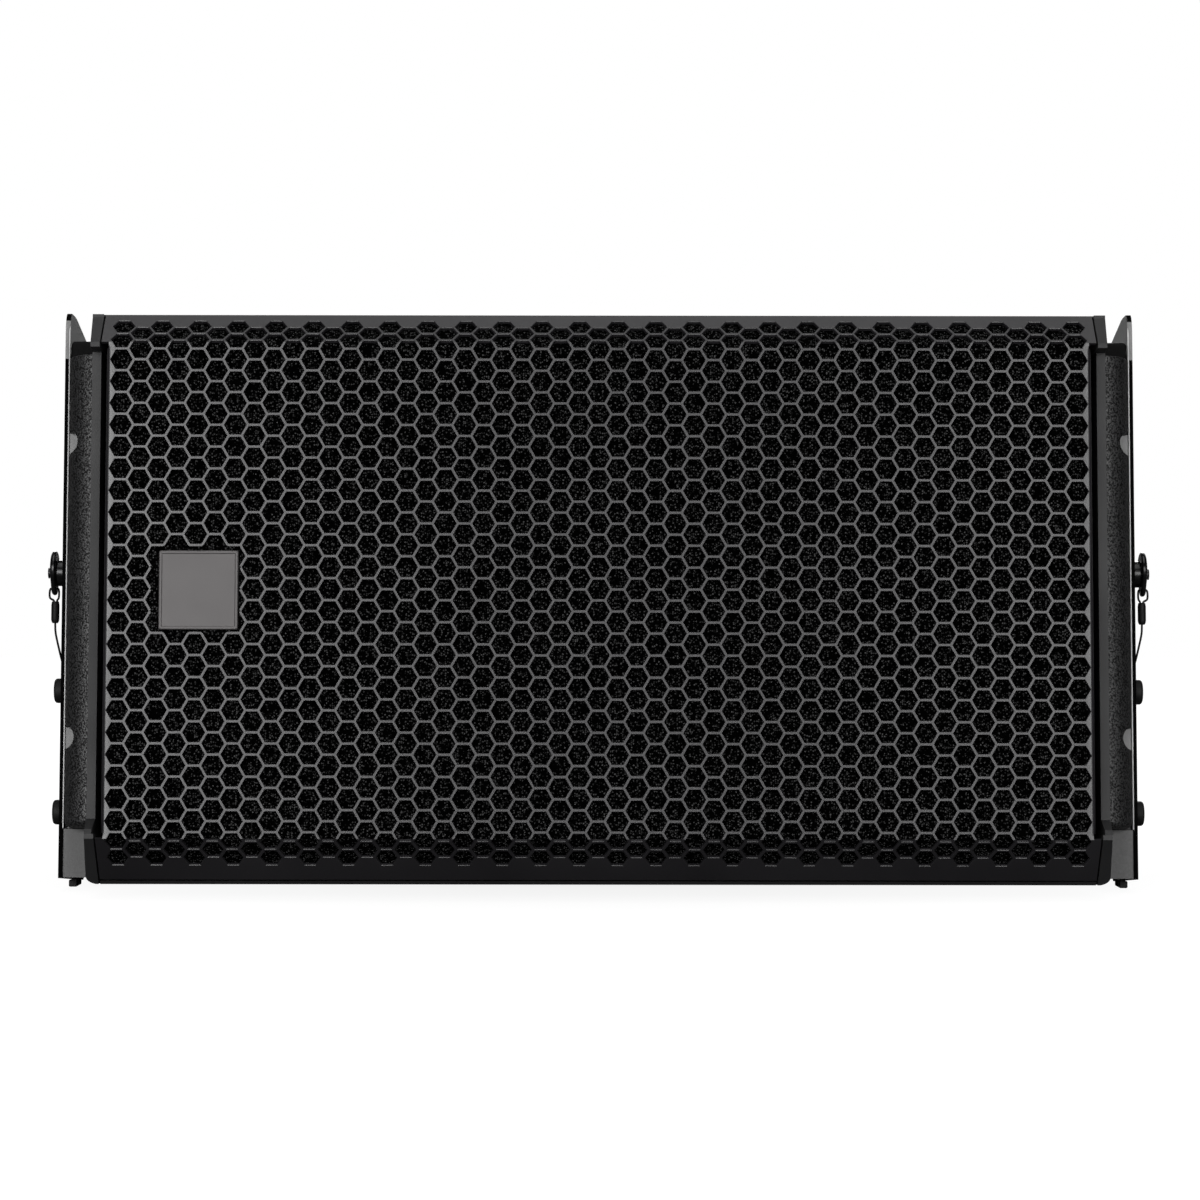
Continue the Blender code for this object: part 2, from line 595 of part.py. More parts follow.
def make_grille():
    flat = FOLD_TOP - FOLD_BOTTOM
    low, high = -BOTTOM_BAND, flat + TOP_BAND
    corner = HOLE_ACROSS / math.sqrt(3)
    edge = GRILLE_HALF + FLANGE_DEPTH
    half = [(BAND_HALF, low), (BAND_HALF, 0), (GRILLE_HALF, 0), (GRILLE_HALF, FLANGE_RELIEF),
            (edge, FLANGE_RELIEF), (edge, flat - FLANGE_RELIEF), (GRILLE_HALF, flat - FLANGE_RELIEF),
            (GRILLE_HALF, flat), (BAND_HALF, flat), (BAND_HALF, high)]
    loops = [half + [(-u, v) for u, v in reversed(half)]]
    holes = hole_centres(low, high)
    for u, v in holes:
        loops.append(arc((u, v), corner, 0, 300, 5))
    window = BADGE_SIZE / 2 + BADGE_MARGIN
    badge_v = BADGE_Z - FOLD_BOTTOM
    loops.append([(BADGE_X - window, badge_v - window), (BADGE_X + window, badge_v - window),
                  (BADGE_X + window, badge_v + window), (BADGE_X - window, badge_v + window)])

    # Edges of the blank, its holes and its fold lines
    points, edges = [], []
    for loop in loops:
        first = len(points)
        points += [Vector(point) for point in loop]
        edges += [(first + i, first + (i + 1) % len(loop)) for i in range(len(loop))]
    folds = [((-GRILLE_HALF, v), (GRILLE_HALF, v)) for v in (0, flat)]
    folds += [((u, FLANGE_RELIEF), (u, flat - FLANGE_RELIEF)) for u in (-GRILLE_HALF, GRILLE_HALF)]
    for start, end in folds:
        edges.append((len(points), len(points) + 1))
        points += [Vector(start), Vector(end)]
    blank = delaunay_2d_cdt(points, edges, [], 0, 1e-7)
    verts, triangles = blank[0], blank[2]

    def in_sheet(u, v):
        width = GRILLE_HALF
        if v < 0 or v > flat:
            width = BAND_HALF
        elif FLANGE_RELIEF < v < flat - FLANGE_RELIEF:
            width = edge
        if abs(u) > width or v < low or v > high:
            return False
        return abs(u - BADGE_X) > window or abs(v - badge_v) > window

    centres = np.array(holes)

    def in_hole(u, v):
        away = np.abs(centres - (u, v))
        reach = np.maximum(away[:, 1], away[:, 0] * math.sin(math.pi / 3) + away[:, 1] * 0.5)
        return bool((reach < HOLE_ACROSS / 2).any())

    slope, rise = math.sin(BAND_ANGLE), math.cos(BAND_ANGLE)
    slip = math.tan(BAND_ANGLE / 2)
    fold_line = CLEARANCE * MM

    def folded(u, v, depth):
        """Place of a point of the blank on the folded sheet, at a depth below its outer face."""
        for fold, sign, along in ((FOLD_BOTTOM, -1, -v), (FOLD_TOP, 1, v - flat)):
            if along > -fold_line:
                along = max(along, depth * slip)
                return (u, along * slope + depth * rise, fold + sign * (along * rise - depth * slope))
        side = GRILLE_HALF - depth
        x = max(-side, min(side, u))
        y = max(depth, abs(u) - GRILLE_HALF)
        return (x, y, FOLD_BOTTOM + max(depth * slip, min(flat - depth * slip, v)))

    kept = []
    for triangle in triangles:
        u = sum(verts[i][0] for i in triangle) / 3
        v = sum(verts[i][1] for i in triangle) / 3
        if in_sheet(u, v) and not in_hole(u, v):
            kept.append(triangle)

    # Front skin, back skin set in by the sheet's thickness, and the walls of every cut edge
    mesh = bmesh.new()
    skins = {}
    for i in sorted({i for triangle in kept for i in triangle}):
        skins[i] = [mesh.verts.new(folded(*verts[i], depth)) for depth in (0, GRILLE_SHEET)]
    borders = {}
    for a, b, c in kept:
        mesh.faces.new((skins[a][0], skins[b][0], skins[c][0]))
        mesh.faces.new((skins[a][1], skins[c][1], skins[b][1]))
        for i, j in ((a, b), (b, c), (c, a)):
            borders[(i, j)] = (j, i)
    for (i, j), back in borders.items():
        if back not in borders:
            mesh.faces.new((skins[j][0], skins[i][0], skins[i][1], skins[j][1]))
    return piece(solid("grille", mesh), "grille")


# Foam sheet: lies against the back of the grille, inside its folded edges

def make_foam():
    def layer(depth):
        """The folded profile set back from the grille's outer face, without the outer ends of the bands."""
        slip = depth * math.tan(BAND_ANGLE / 2)
        points = []
        for fold, sign, length in ((FOLD_BOTTOM, -1, BOTTOM_BAND), (FOLD_TOP, 1, TOP_BAND)):
            run = length - FOAM_INSET
            bend = (depth, fold - sign * slip)
            reach = run + slip
            end = (bend[0] + reach * math.sin(BAND_ANGLE), bend[1] + sign * reach * math.cos(BAND_ANGLE))
            points += [end, bend] if sign < 0 else [bend, end]
        return points

    near = GRILLE_SHEET + CLEARANCE
    outline = layer(near) + list(reversed(layer(near + FOAM_THICKNESS)))
    half = GRILLE_HALF - GRILLE_SHEET - CLEARANCE
    return piece(prism("grille_foam", outline, "x", -half, half), "foam")


def make_badge():
    half = BADGE_SIZE / 2
    back = GRILLE_SHEET
    return piece(block("badge", (BADGE_X - half, BADGE_X + half), (back - BADGE_THICKNESS, back),
                       (BADGE_Z - half, BADGE_Z + half)), "badge")


# Baffle with the cut-outs of the drivers

def make_baffle():
    board = block("baffle", (-BAFFLE_HALF, BAFFLE_HALF), (BAFFLE_FRONT, FRAME_DEPTH),
                  (-BAFFLE_HALF_HEIGHT, BAFFLE_HALF_HEIGHT))
    past = (BAFFLE_FRONT - WALL, FRAME_DEPTH + WALL)
    slot = (HORN_MOUTH_HALF_WIDTH + HORN_WALL + CLEARANCE, HORN_MOUTH_HALF_HEIGHT + HORN_WALL + CLEARANCE)
    tools = [block("slot", (-slot[0], slot[0]), past, (-slot[1], slot[1]))]
    for side, sign in SIDES:
        tools.append(drum("cutout", WOOFER_CUTOUT_RADIUS, "y", (sign * WOOFER_X, 0), *past, segments=WOOFER_SEGMENTS))
    return piece(cut(board, *tools), "board")


# Woofers: basket, magnet, rolled surround and a cone with its coil former

def make_woofer(side, sign):
    centre = (sign * WOOFER_X, 0)
    face = BAFFLE_FRONT - CLEARANCE
    front = face - WOOFER_FLANGE
    back = front + BASKET_DEPTH
    neck = WOOFER_CUTOUT_RADIUS - 2 * CLEARANCE
    bore = COIL_RADIUS + COIL_GAP
    lip = back + BASKET_WALL
    basket = [(WOOFER_RADIUS, front), (WOOFER_RADIUS, face), (neck, face), (BASKET_BACK_RADIUS, back - BASKET_WALL),
              (BASKET_BACK_RADIUS, lip), (bore, lip), (bore, back), (BASKET_BACK_RADIUS - BASKET_WALL, back),
              (BASKET_BACK_RADIUS - BASKET_WALL, back - BASKET_WALL), (neck - BASKET_WALL, face), (neck - BASKET_WALL, front)]
    piece(turned("woofer_basket_" + side, basket, "y", centre, WOOFER_SEGMENTS, ring=True), "dark_bolt", smooth=True)

    seat = lip + CLEARANCE
    pole = COIL_RADIUS - CONE_SHEET - COIL_GAP
    groove = seat + MAGNET_THICKNESS / 2
    magnet = [(0, seat), (pole, seat), (pole, groove), (bore, groove), (bore, seat),
              (MAGNET_RADIUS, seat), (MAGNET_RADIUS, seat + MAGNET_THICKNESS), (0, seat + MAGNET_THICKNESS)]
    piece(turned("woofer_magnet_" + side, magnet, "y", centre, WOOFER_SEGMENTS), "magnet", smooth=True)

    rest = front - CLEARANCE
    inner = CONE_RADIUS + CLEARANCE
    outer = neck - BASKET_WALL
    middle, half = (inner + outer) / 2, (outer - inner) / 2
    roll = [(middle + half * x, rest - SURROUND_SHEET - SURROUND_ROLL * y) for x, y in arc((0, 0), 1, 0, 180, 4)]
    under = [(middle + (half - SURROUND_SHEET) * x, rest - SURROUND_ROLL * y) for x, y in arc((0, 0), 1, 180, 0, 4)]
    rim = outer + (WOOFER_RADIUS - outer) / 2
    surround = [(rim, rest), (rim, rest - SURROUND_SHEET)] + roll + [(inner, rest)] + under
    piece(turned("woofer_surround_" + side, surround, "y", centre, WOOFER_SEGMENTS, ring=True), "rubber", smooth=True)

    edge = front - SURROUND_SHEET
    neck_y = edge + CONE_DEPTH
    cap = COIL_RADIUS - CONE_SHEET
    coil_end = groove - MAGNET_THICKNESS / 4
    cone = [(0, neck_y - 3 * CONE_SHEET), (cap, neck_y), (CONE_RADIUS, edge), (CONE_RADIUS, edge + CONE_SHEET),
            (COIL_RADIUS, neck_y + CONE_SHEET), (COIL_RADIUS, coil_end), (cap, coil_end),
            (cap, neck_y + CONE_SHEET), (0, neck_y - 2 * CONE_SHEET)]
    made = turned("woofer_cone_" + side, cone, "y", centre, WOOFER_SEGMENTS)
    piece(made, "paper", (centre[0], edge, 0), smooth=True)


# Waveguide: a flared slot with a flange on the baffle and a flange for the compression driver

def flare(name, mouth, throat, y_mouth, y_throat):
    """A four-sided funnel between two half sizes."""
    mesh = bmesh.new()
    rings = []
    for (half_x, half_z), y in ((mouth, y_mouth), (throat, y_throat)):
        corners = ((-half_x, -half_z), (half_x, -half_z), (half_x, half_z), (-half_x, half_z))
        rings.append([mesh.verts.new((x, y, z)) for x, z in corners])
    for ring in rings:
        mesh.faces.new(ring)
    for i in range(4):
        mesh.faces.new((rings[0][i - 1], rings[0][i], rings[1][i], rings[1][i - 1]))
    return solid(name, mesh)


def make_waveguide():
    face = BAFFLE_FRONT - CLEARANCE
    front = face - HORN_FLANGE
    throat_y = front + HORN_LENGTH
    inside = (HORN_MOUTH_HALF_WIDTH, HORN_MOUTH_HALF_HEIGHT)
    outside = (inside[0] + HORN_WALL, inside[1] + HORN_WALL)
    throat = (HORN_THROAT_HALF, HORN_THROAT_HALF)
    throat_out = (HORN_THROAT_HALF + HORN_WALL, HORN_THROAT_HALF + HORN_WALL)
    horn = flare("waveguide", outside, throat_out, front + CLEARANCE, throat_y - CLEARANCE)
    flange = block("flange", (-inside[0] - HORN_RIM, inside[0] + HORN_RIM), (front, face),
                   (-inside[1] - HORN_RIM, inside[1] + HORN_RIM))
    seat = drum("seat", DRIVER_RADIUS * 0.7, "y", (0, 0), throat_y - 2 * HORN_FLANGE, throat_y, segments=16)
    join(horn, flange, seat)
    slope = (inside[0] - throat[0]) / HORN_LENGTH
    rise = (inside[1] - throat[1]) / HORN_LENGTH
    past = 2 * HORN_FLANGE
    bore = flare("bore", (inside[0] + slope * past, inside[1] + rise * past),
                 (throat[0] - slope * past, throat[1] - rise * past), front - past, throat_y + past)
    piece(cut(horn, bore), "moulded")

    seat_y = throat_y + CLEARANCE
    back = seat_y + DRIVER_DEPTH
    profile = [(0, seat_y), (DRIVER_RADIUS * 0.7, seat_y), (DRIVER_RADIUS * 0.7, seat_y + HORN_FLANGE),
               (DRIVER_RADIUS, seat_y + 3 * HORN_FLANGE), (DRIVER_RADIUS, back - 3 * HORN_FLANGE),
               (DRIVER_RADIUS * 0.85, back), (0, back)]
    piece(turned("compression_driver", profile, "y", (0, 0), 16), "magnet", smooth=True)


# Amplifier: panel, heat sink, board on standoffs and power supply

def make_amplifier():
    panel = block("amplifier_panel", (-PANEL_WIDTH / 2, PANEL_WIDTH / 2), (PANEL_BACK, PANEL_FACE),
                  (-PANEL_HEIGHT / 2, PANEL_HEIGHT / 2))
    past = (PANEL_BACK - WALL, PANEL_FACE + WALL)
    tools = []
    for row in (MAINS_ROW, SIGNAL_ROW):
        for column in SOCKET_COLUMNS:
            tools.append(drum("socket_hole", SOCKET_RADIUS + HOLE_CLEARANCE, "y", (column, row), *past, segments=16))
    tools.append(drum("knob_hole", KNOB_SHAFT_RADIUS + HOLE_CLEARANCE, "y", (KNOB_X, CONTROL_ROW), *past))
    for column in BUTTON_COLUMNS:
        tools.append(drum("button_hole", BUTTON_RADIUS + HOLE_CLEARANCE, "y", (column, CONTROL_ROW), *past))
    piece(cut(panel, *tools), "aluminium")

    left = -SINK_FROM_MIDDLE - SINK_WIDTH
    pitch = (SINK_WIDTH - FIN_THICKNESS) / (FIN_COUNT - 1)
    tips = ON_PANEL + SINK_BASE + FIN_DEPTH
    comb = [(left + SINK_WIDTH, ON_PANEL), (left, ON_PANEL)]
    for i in range(FIN_COUNT):
        x = left + i * pitch
        comb += [(x, tips), (x + FIN_THICKNESS, tips)]
        if i < FIN_COUNT - 1:
            comb += [(x + FIN_THICKNESS, ON_PANEL + SINK_BASE), (x + pitch, ON_PANEL + SINK_BASE)]
    piece(prism("heat_sink", comb, "z", -SINK_HEIGHT / 2, SINK_HEIGHT / 2), "aluminium")

    posts_end = PANEL_BACK - CLEARANCE
    board_back = posts_end - STANDOFF_LENGTH
    half = REAR_OPENING_HALF - BOARD_SIDE_GAP
    half_height = REAR_OPENING_HALF_HEIGHT - BOARD_END_GAP
    board = block("amplifier_board", (-half, half), (board_back - BOARD_SHEET, board_back),
                  (-half_height, half_height))
    posts = []
    for x_sign in (-1, 1):
        for z_sign in (-1, 1):
            x = sorted((x_sign * half, x_sign * (half - STANDOFF)))
            z = sorted((z_sign * half_height, z_sign * (half_height - STANDOFF)))
            posts.append(block("post", x, (board_back - BOARD_SHEET / 2, posts_end), z))
    piece(join(board, *posts), "circuit")

    seat = board_back - BOARD_SHEET - CLEARANCE
    supply = block("power_supply", (-SUPPLY_WIDTH / 2, SUPPLY_WIDTH / 2), (seat - SUPPLY_DEPTH, seat),
                   (-SUPPLY_HEIGHT / 2, SUPPLY_HEIGHT / 2))
    cans = []
    for row in (-1, 0, 1):
        cans.append(drum("can", CAPACITOR_RADIUS, "y", (0, row * SUPPLY_HEIGHT / 3.2),
                         seat - SUPPLY_DEPTH - CAPACITOR_LENGTH, seat - SUPPLY_DEPTH / 2))
    piece(join(supply, *cans), "socket")


# Sockets: square flange on the panel, round body through it and an open bore with its contacts

def make_socket(name, column, row, contact_radius, contact_ring, contact_count, contact_length):
    face = ON_PANEL + SOCKET_FLANGE
    body = block(name, (column - SOCKET_WIDTH / 2, column + SOCKET_WIDTH / 2), (ON_PANEL, face),
                 (row - SOCKET_HEIGHT / 2, row + SOCKET_HEIGHT / 2))
    barrel = drum("barrel", SOCKET_RADIUS, "y", (column, row), face - SOCKET_DEPTH, ON_PANEL + SOCKET_FLANGE / 2,
                  segments=16)
    join(body, barrel)
    floor_y = face - SOCKET_BORE_DEPTH
    cut(body, drum("bore", SOCKET_BORE, "y", (column, row), floor_y, face + SOCKET_FLANGE, segments=16))
    contacts = []
    for i in range(contact_count):
        angle = math.tau * i / contact_count + math.pi / 2
        place = (column + contact_ring * math.cos(angle), row + contact_ring * math.sin(angle))
        contacts.append(drum("contact", contact_radius, "y", place, floor_y - SOCKET_FLANGE / 2,
                             floor_y + contact_length, segments=8))
    join(body, *contacts)
    return piece(body, "socket")


def make_controls():
    knob_base = ON_PANEL
    knob = turned("level_knob", [
        (0, PANEL_BACK - WALL), (KNOB_SHAFT_RADIUS, PANEL_BACK - WALL), (KNOB_SHAFT_RADIUS, knob_base),
        (KNOB_RADIUS, knob_base), (KNOB_RADIUS * 0.88, knob_base + KNOB_HEIGHT), (0, knob_base + KNOB_HEIGHT),
    ], "y", (KNOB_X, CONTROL_ROW), 16)
    piece(knob, "socket", (KNOB_X, knob_base, CONTROL_ROW), smooth=True)
    for number, column in enumerate(BUTTON_COLUMNS, 1):
        button = drum(f"preset_button_{number}", BUTTON_RADIUS, "y", (column, CONTROL_ROW),
                      PANEL_FACE - BUTTON_STEM, PANEL_FACE + BUTTON_PROUD, segments=14)
        piece(button, "rubber", (column, PANEL_FACE, CONTROL_ROW), smooth=True)


# Rear handles: moulded bars that bridge the hand pockets in the rear corners

def make_handle(side, sign):
    foot = BODY_DEPTH + CLEARANCE
    back = foot + HANDLE_DEPTH
    inner = back - HANDLE_GRIP
    high, foot_in = HANDLE_HALF_HEIGHT, HANDLE_HALF_HEIGHT - HANDLE_FOOT
    round_off = HANDLE_GRIP / 2
    half = [(foot, foot_in), (foot, high), (inner, high), (back - round_off / 3, high - round_off / 3),
            (back, high - round_off), (back, high - 2 * round_off)]
    inside = [(inner, foot_in - round_off / 2), (inner - round_off / 4, foot_in)]
    profile = inside + half
    outline = profile + [(y, -z) for y, z in reversed(profile)]
    middle = sign * (REAR_HALF - HANDLE_INSET)
    bar = prism("handle_" + side, outline, "x", middle - HANDLE_WIDTH / 2, middle + HANDLE_WIDTH / 2)
    return piece(bar, "moulded")


# Side plates with their bolts, links, quick-lock pins and lanyards

def make_plate(side, sign):
    tip = HALF_HEIGHT + PLATE_TIP_HEIGHT
    ear_end = PLATE_FRONT + PLATE_TIP_RUN + PLATE_EAR_LENGTH
    ear_drop = PLATE_EAR_LENGTH * math.tan(PLATE_EAR_SLOPE)
    outline = [(PLATE_FRONT, PLATE_BOTTOM), (ear_end - PLATE_TIP_RUN, PLATE_BOTTOM),
                (PLATE_REAR, PLATE_BOTTOM + PLATE_REAR_CUT),
                (PLATE_REAR, tip - ear_drop - PLATE_REAR_DROP), (ear_end, tip - ear_drop),
                (PLATE_FRONT + PLATE_TIP_RUN, tip)]
    for y, z in arc((0, 0), 1, 90, 180, 3)[1:]:
        outline.append((PLATE_FRONT + PLATE_TIP_RUN * 0.6 * (1 + y), tip - PLATE_TIP_RUN * (1 - z)))
    plate = prism("side_plate_" + side, outline, "x", sign * PLATE_INSIDE, sign * PLATE_OUTSIDE)
    # A tab is folded inwards in front of the groove for the link of the cabinet below
    join(plate, block("tab", (sign * (FRAME_HALF + 2 * CLEARANCE), sign * (PLATE_OUTSIDE - PLATE_SHEET / 4)),
                      (PLATE_FRONT, PLATE_FRONT + PLATE_SHEET), (PLATE_BOTTOM, SHOULDER_FOOT - CLEARANCE)))
    past = (sign * (PLATE_INSIDE - WALL), sign * (PLATE_OUTSIDE + WALL))
    tools = []
    for y, z in bolt_places():
        tools.append(drum("bolt_hole", BOLT_RADIUS + HOLE_CLEARANCE, "x", (y, z), *past))
    link_hole = LINK_TOP - LINK_HOLE_DROP + LINK_TRAVEL - BODY_HEIGHT
    for height in (PIN_Z, link_hole):
        tools.append(drum("pin_hole", PIN_RADIUS + HOLE_CLEARANCE, "x", (PIN_Y, height), *past))
    tools.append(drum("anchor_hole", ANCHOR_SHANK_RADIUS + HOLE_CLEARANCE, "x", (ANCHOR_Y, ANCHOR_Z), *past))
    return piece(cut(plate, *tools), "painted_steel")


def button_head(name, place, sign, head_radius, head, shank_radius, length, domed):
    """A bolt whose domed or flat head sits on the outer face of a side plate."""
    seat = PLATE_OUTSIDE + CLEARANCE
    end = PLATE_OUTSIDE - length
    crown = [(head_radius, seat + head * 0.4)] if domed else []
    crown.append((head_radius * 0.6 if domed else head_radius, seat + head))
    profile = [(0, end), (shank_radius, end), (shank_radius, seat), (head_radius, seat)] + crown + [(0, seat + head)]
    return turned(name, [(radius, sign * x) for radius, x in profile], "x", place, 10)


def make_bolts(side, sign):
    names = ("front_upper", "front_lower", "rear_upper", "rear_lower")
    for name, place in zip(names, bolt_places()):
        bolt = button_head(f"bolt_{name}_{side}", place, sign, BOLT_HEAD_RADIUS, BOLT_HEAD, BOLT_RADIUS,
                           BOLT_LENGTH, True)
        piece(bolt, "dark_bolt", smooth=True)


def make_link(side, sign):
    half = LINK_WIDTH / 2
    head = half * 0.6
    outline = [(PIN_Y - half, LINK_BOTTOM), (PIN_Y + half, LINK_BOTTOM), (PIN_Y + half, LINK_TOP - head),
               (PIN_Y + half - head, LINK_TOP), (PIN_Y - half + head, LINK_TOP), (PIN_Y - half, LINK_TOP - head)]
    inner, outer = CHANNEL_FLOOR + CLEARANCE, CHANNEL_FLOOR + CLEARANCE + LINK_SHEET
    bar = prism("front_link_" + side, outline, "x", sign * inner, sign * outer)
    past = (sign * (inner - WALL), sign * (outer + WALL))
    low = PIN_Z - LINK_TRAVEL
    slot = arc((PIN_Y, PIN_Z), SLOT_HALF, 0, 180, 6) + arc((PIN_Y, low), SLOT_HALF, 180, 360, 6)
    tools = [prism("slot", slot, "x", *past)]
    tools.append(drum("hole", PIN_RADIUS + HOLE_CLEARANCE, "x", (PIN_Y, LINK_TOP - LINK_HOLE_DROP), *past))
    return piece(cut(bar, *tools), "zinc", (sign * inner, PIN_Y, LINK_BOTTOM))


def make_pin(name, button_name, sign, seat, length, y, z):
    """A quick-lock pin along X: shank, hub and oval handle with an eye, and its push-button."""
    hub_face = seat + CLEARANCE
    hub_end = hub_face + PIN_HUB
    handle_face = hub_end + PIN_HANDLE
    tip = seat - length
    shank = [(0, tip), (PIN_RADIUS * 0.7, tip), (PIN_RADIUS, tip + PIN_RADIUS * 0.5), (PIN_RADIUS, hub_face),
             (PIN_HUB_RADIUS, hub_face), (PIN_HUB_RADIUS, hub_end + PIN_HANDLE / 4), (0, hub_end + PIN_HANDLE / 4)]
    pin = turned(name, [(radius, sign * x) for radius, x in shank], "x", (y, z), 16)

    head_z = z + PIN_HANDLE_RISE - PIN_HEAD_RADIUS
    tail_z = z - PIN_HANDLE_RISE + PIN_TAIL_RADIUS
    tilt = math.degrees(math.asin((PIN_HEAD_RADIUS - PIN_TAIL_RADIUS) / (head_z - tail_z)))
    mesh = bmesh.new()
    rings = []
    for level, inset in ((hub_end, 0.25), (hub_end + PIN_HANDLE * 0.25, 0), (hub_end + PIN_HANDLE * 0.6, 0),
                         (handle_face, 0.3)):
        shrink = inset * PIN_HANDLE
        outline = arc((y, head_z), PIN_HEAD_RADIUS - shrink, -tilt, 180 + tilt, 10)
        outline += arc((y, tail_z), PIN_TAIL_RADIUS - shrink, 180 + tilt, 360 - tilt, 6)
        rings.append([mesh.verts.new((sign * level, a, b)) for a, b in outline])
    mesh.faces.new(rings[0])
    mesh.faces.new(rings[-1])
    for lower, upper in zip(rings, rings[1:]):
        for i in range(len(lower)):
            mesh.faces.new((lower[i - 1], lower[i], upper[i], upper[i - 1]))
    join(pin, solid("handle", mesh))
    recess = handle_face + PIN_BUTTON_PROUD - PIN_BUTTON_LENGTH - BUTTON_TRAVEL - CLEARANCE
    cut(pin, drum("eye", PIN_EYE_RADIUS, "x", (y, eye_height(z)), sign * (hub_end - WALL), sign * (handle_face + WALL)),
        drum("well", PIN_BUTTON_RADIUS + CLEARANCE, "x", (y, z), sign * recess, sign * (handle_face + WALL), 14))
    piece(pin, "dark_bolt", (sign * seat, y, z), smooth=True)

    face = handle_face + PIN_BUTTON_PROUD
    base = face - PIN_BUTTON_LENGTH
    shape = [(0, base), (PIN_BUTTON_RADIUS, base), (PIN_BUTTON_RADIUS, face - PIN_BUTTON_PROUD * 0.3),
             (PIN_BUTTON_RADIUS * 0.75, face), (0, face)]
    button = turned(button_name, [(radius, sign * x) for radius, x in shape], "x", (y, z), 14)
    piece(button, "dark_bolt", (sign * handle_face, y, z), smooth=True)


def eye_height(z):
    """Height of the lanyard eye in the tail of a pin's handle."""
    return z - PIN_HANDLE_RISE + PIN_TAIL_RADIUS


def make_lanyard(side, sign):
    anchor = button_head("lanyard_anchor_" + side, (ANCHOR_Y, ANCHOR_Z), sign, ANCHOR_RADIUS, ANCHOR_HEAD,
                         ANCHOR_SHANK_RADIUS, PLATE_SHEET, False)
    piece(anchor, "dark_bolt", smooth=True)

    # Crimped ferrule with the wire loop that hangs in the eye of the handle
    x = PLATE_OUTSIDE + LANYARD_ROUTE[0][0]
    bevel = FERRULE_RADIUS * 0.25
    ferrule = turned("lanyard_ferrule_" + side, [
        (0, FERRULE_BOTTOM), (FERRULE_RADIUS - bevel, FERRULE_BOTTOM), (FERRULE_RADIUS, FERRULE_BOTTOM + bevel),
        (FERRULE_RADIUS, FERRULE_TOP - bevel), (FERRULE_RADIUS - bevel, FERRULE_TOP), (0, FERRULE_TOP),
    ], "z", (sign * x, PIN_Y), 10)
    loop_x = PLATE_OUTSIDE + CLEARANCE + PIN_HUB + PIN_HANDLE / 2
    reach = PIN_HANDLE / 2 + WIRE_RADIUS + CLEARANCE
    crown = eye_height(PIN_Z) - PIN_EYE_RADIUS + WIRE_RADIUS + CLEARANCE
    bend = reach * 0.35
    foot = FERRULE_TOP - FERRULE_RADIUS
    legs = []
    for leg in (-1, 1):
        at_ferrule = x + leg * WIRE_RADIUS * 1.6
        legs.append([(at_ferrule, foot), (at_ferrule, FERRULE_TOP + WIRE_RADIUS),
                     (loop_x + leg * reach, FERRULE_TOP + 0.9 * reach), (loop_x + leg * reach, crown - bend),
                     (loop_x + leg * (reach - bend), crown)])
    route = legs[0] + list(reversed(legs[1]))
    loop = wire_tube("loop", [(sign * a, PIN_Y, b) for a, b in route])
    piece(join(ferrule, loop), "dark_bolt", smooth=True)

    # The wire itself, from the ferrule down and back to the anchor
    route = smooth_curve([(sign * (PLATE_OUTSIDE + a), y, z) for a, y, z in LANYARD_ROUTE], LANYARD_COUNT)
    cord = bpy.data.curves.new("lanyard_" + side, "CURVE")
    cord.dimensions = "3D"
    cord.bevel_depth = WIRE_RADIUS
    cord.bevel_resolution = 2
    cord.use_fill_caps = True
    spline = cord.splines.new("POLY")
    spline.points.add(len(route) - 1)
    for point, place in zip(spline.points, route):
        point.co = (*place, 1)
    made = bpy.data.objects.new("lanyard_" + side, cord)
    bpy.context.scene.collection.objects.link(made)
    piece(made, "wire")


def smooth_curve(points, count):
    """Evenly stepped points on a smooth curve through a route's own points."""
    points = [Vector(point) for point in points]
    padded = [2 * points[0] - points[1]] + points + [2 * points[-1] - points[-2]]
    spans = len(points) - 1
    route = []
    for i in range(count):
        at = spans * i / (count - 1)
        k = min(int(at), spans - 1)
        t = at - k
        a, b, c, d = padded[k:k + 4]
        route.append(0.5 * (2 * b + (c - a) * t + (2 * a - 5 * b + 4 * c - d) * t ** 2
                            + (3 * b - a - 3 * c + d) * t ** 3))
    return route


def wire_tube(name, points, sides=6):
    """A closed tube of wire along points in a plane across Y."""
    points = [Vector(point) for point in points]
    mesh = bmesh.new()
    rings = []
    for i, point in enumerate(points):
        along = (points[min(i + 1, len(points) - 1)] - points[max(i - 1, 0)]).normalized()
        across = along.cross(Vector((0, 1, 0)))
        ring = []
        for k in range(sides):
            angle = math.tau * k / sides
            offset = across * math.cos(angle) + Vector((0, 1, 0)) * math.sin(angle)
            ring.append(mesh.verts.new(point + WIRE_RADIUS * offset))
        rings.append(ring)
    mesh.faces.new(rings[0])
    mesh.faces.new(rings[-1])
    for lower, upper in zip(rings, rings[1:]):
        for k in range(sides):
            mesh.faces.new((lower[k - 1], lower[k], upper[k], upper[k - 1]))
    return solid(name, mesh)


# Rear rigging: U-shaped bracket on the amplifier panel and the link arm that folds down inside it

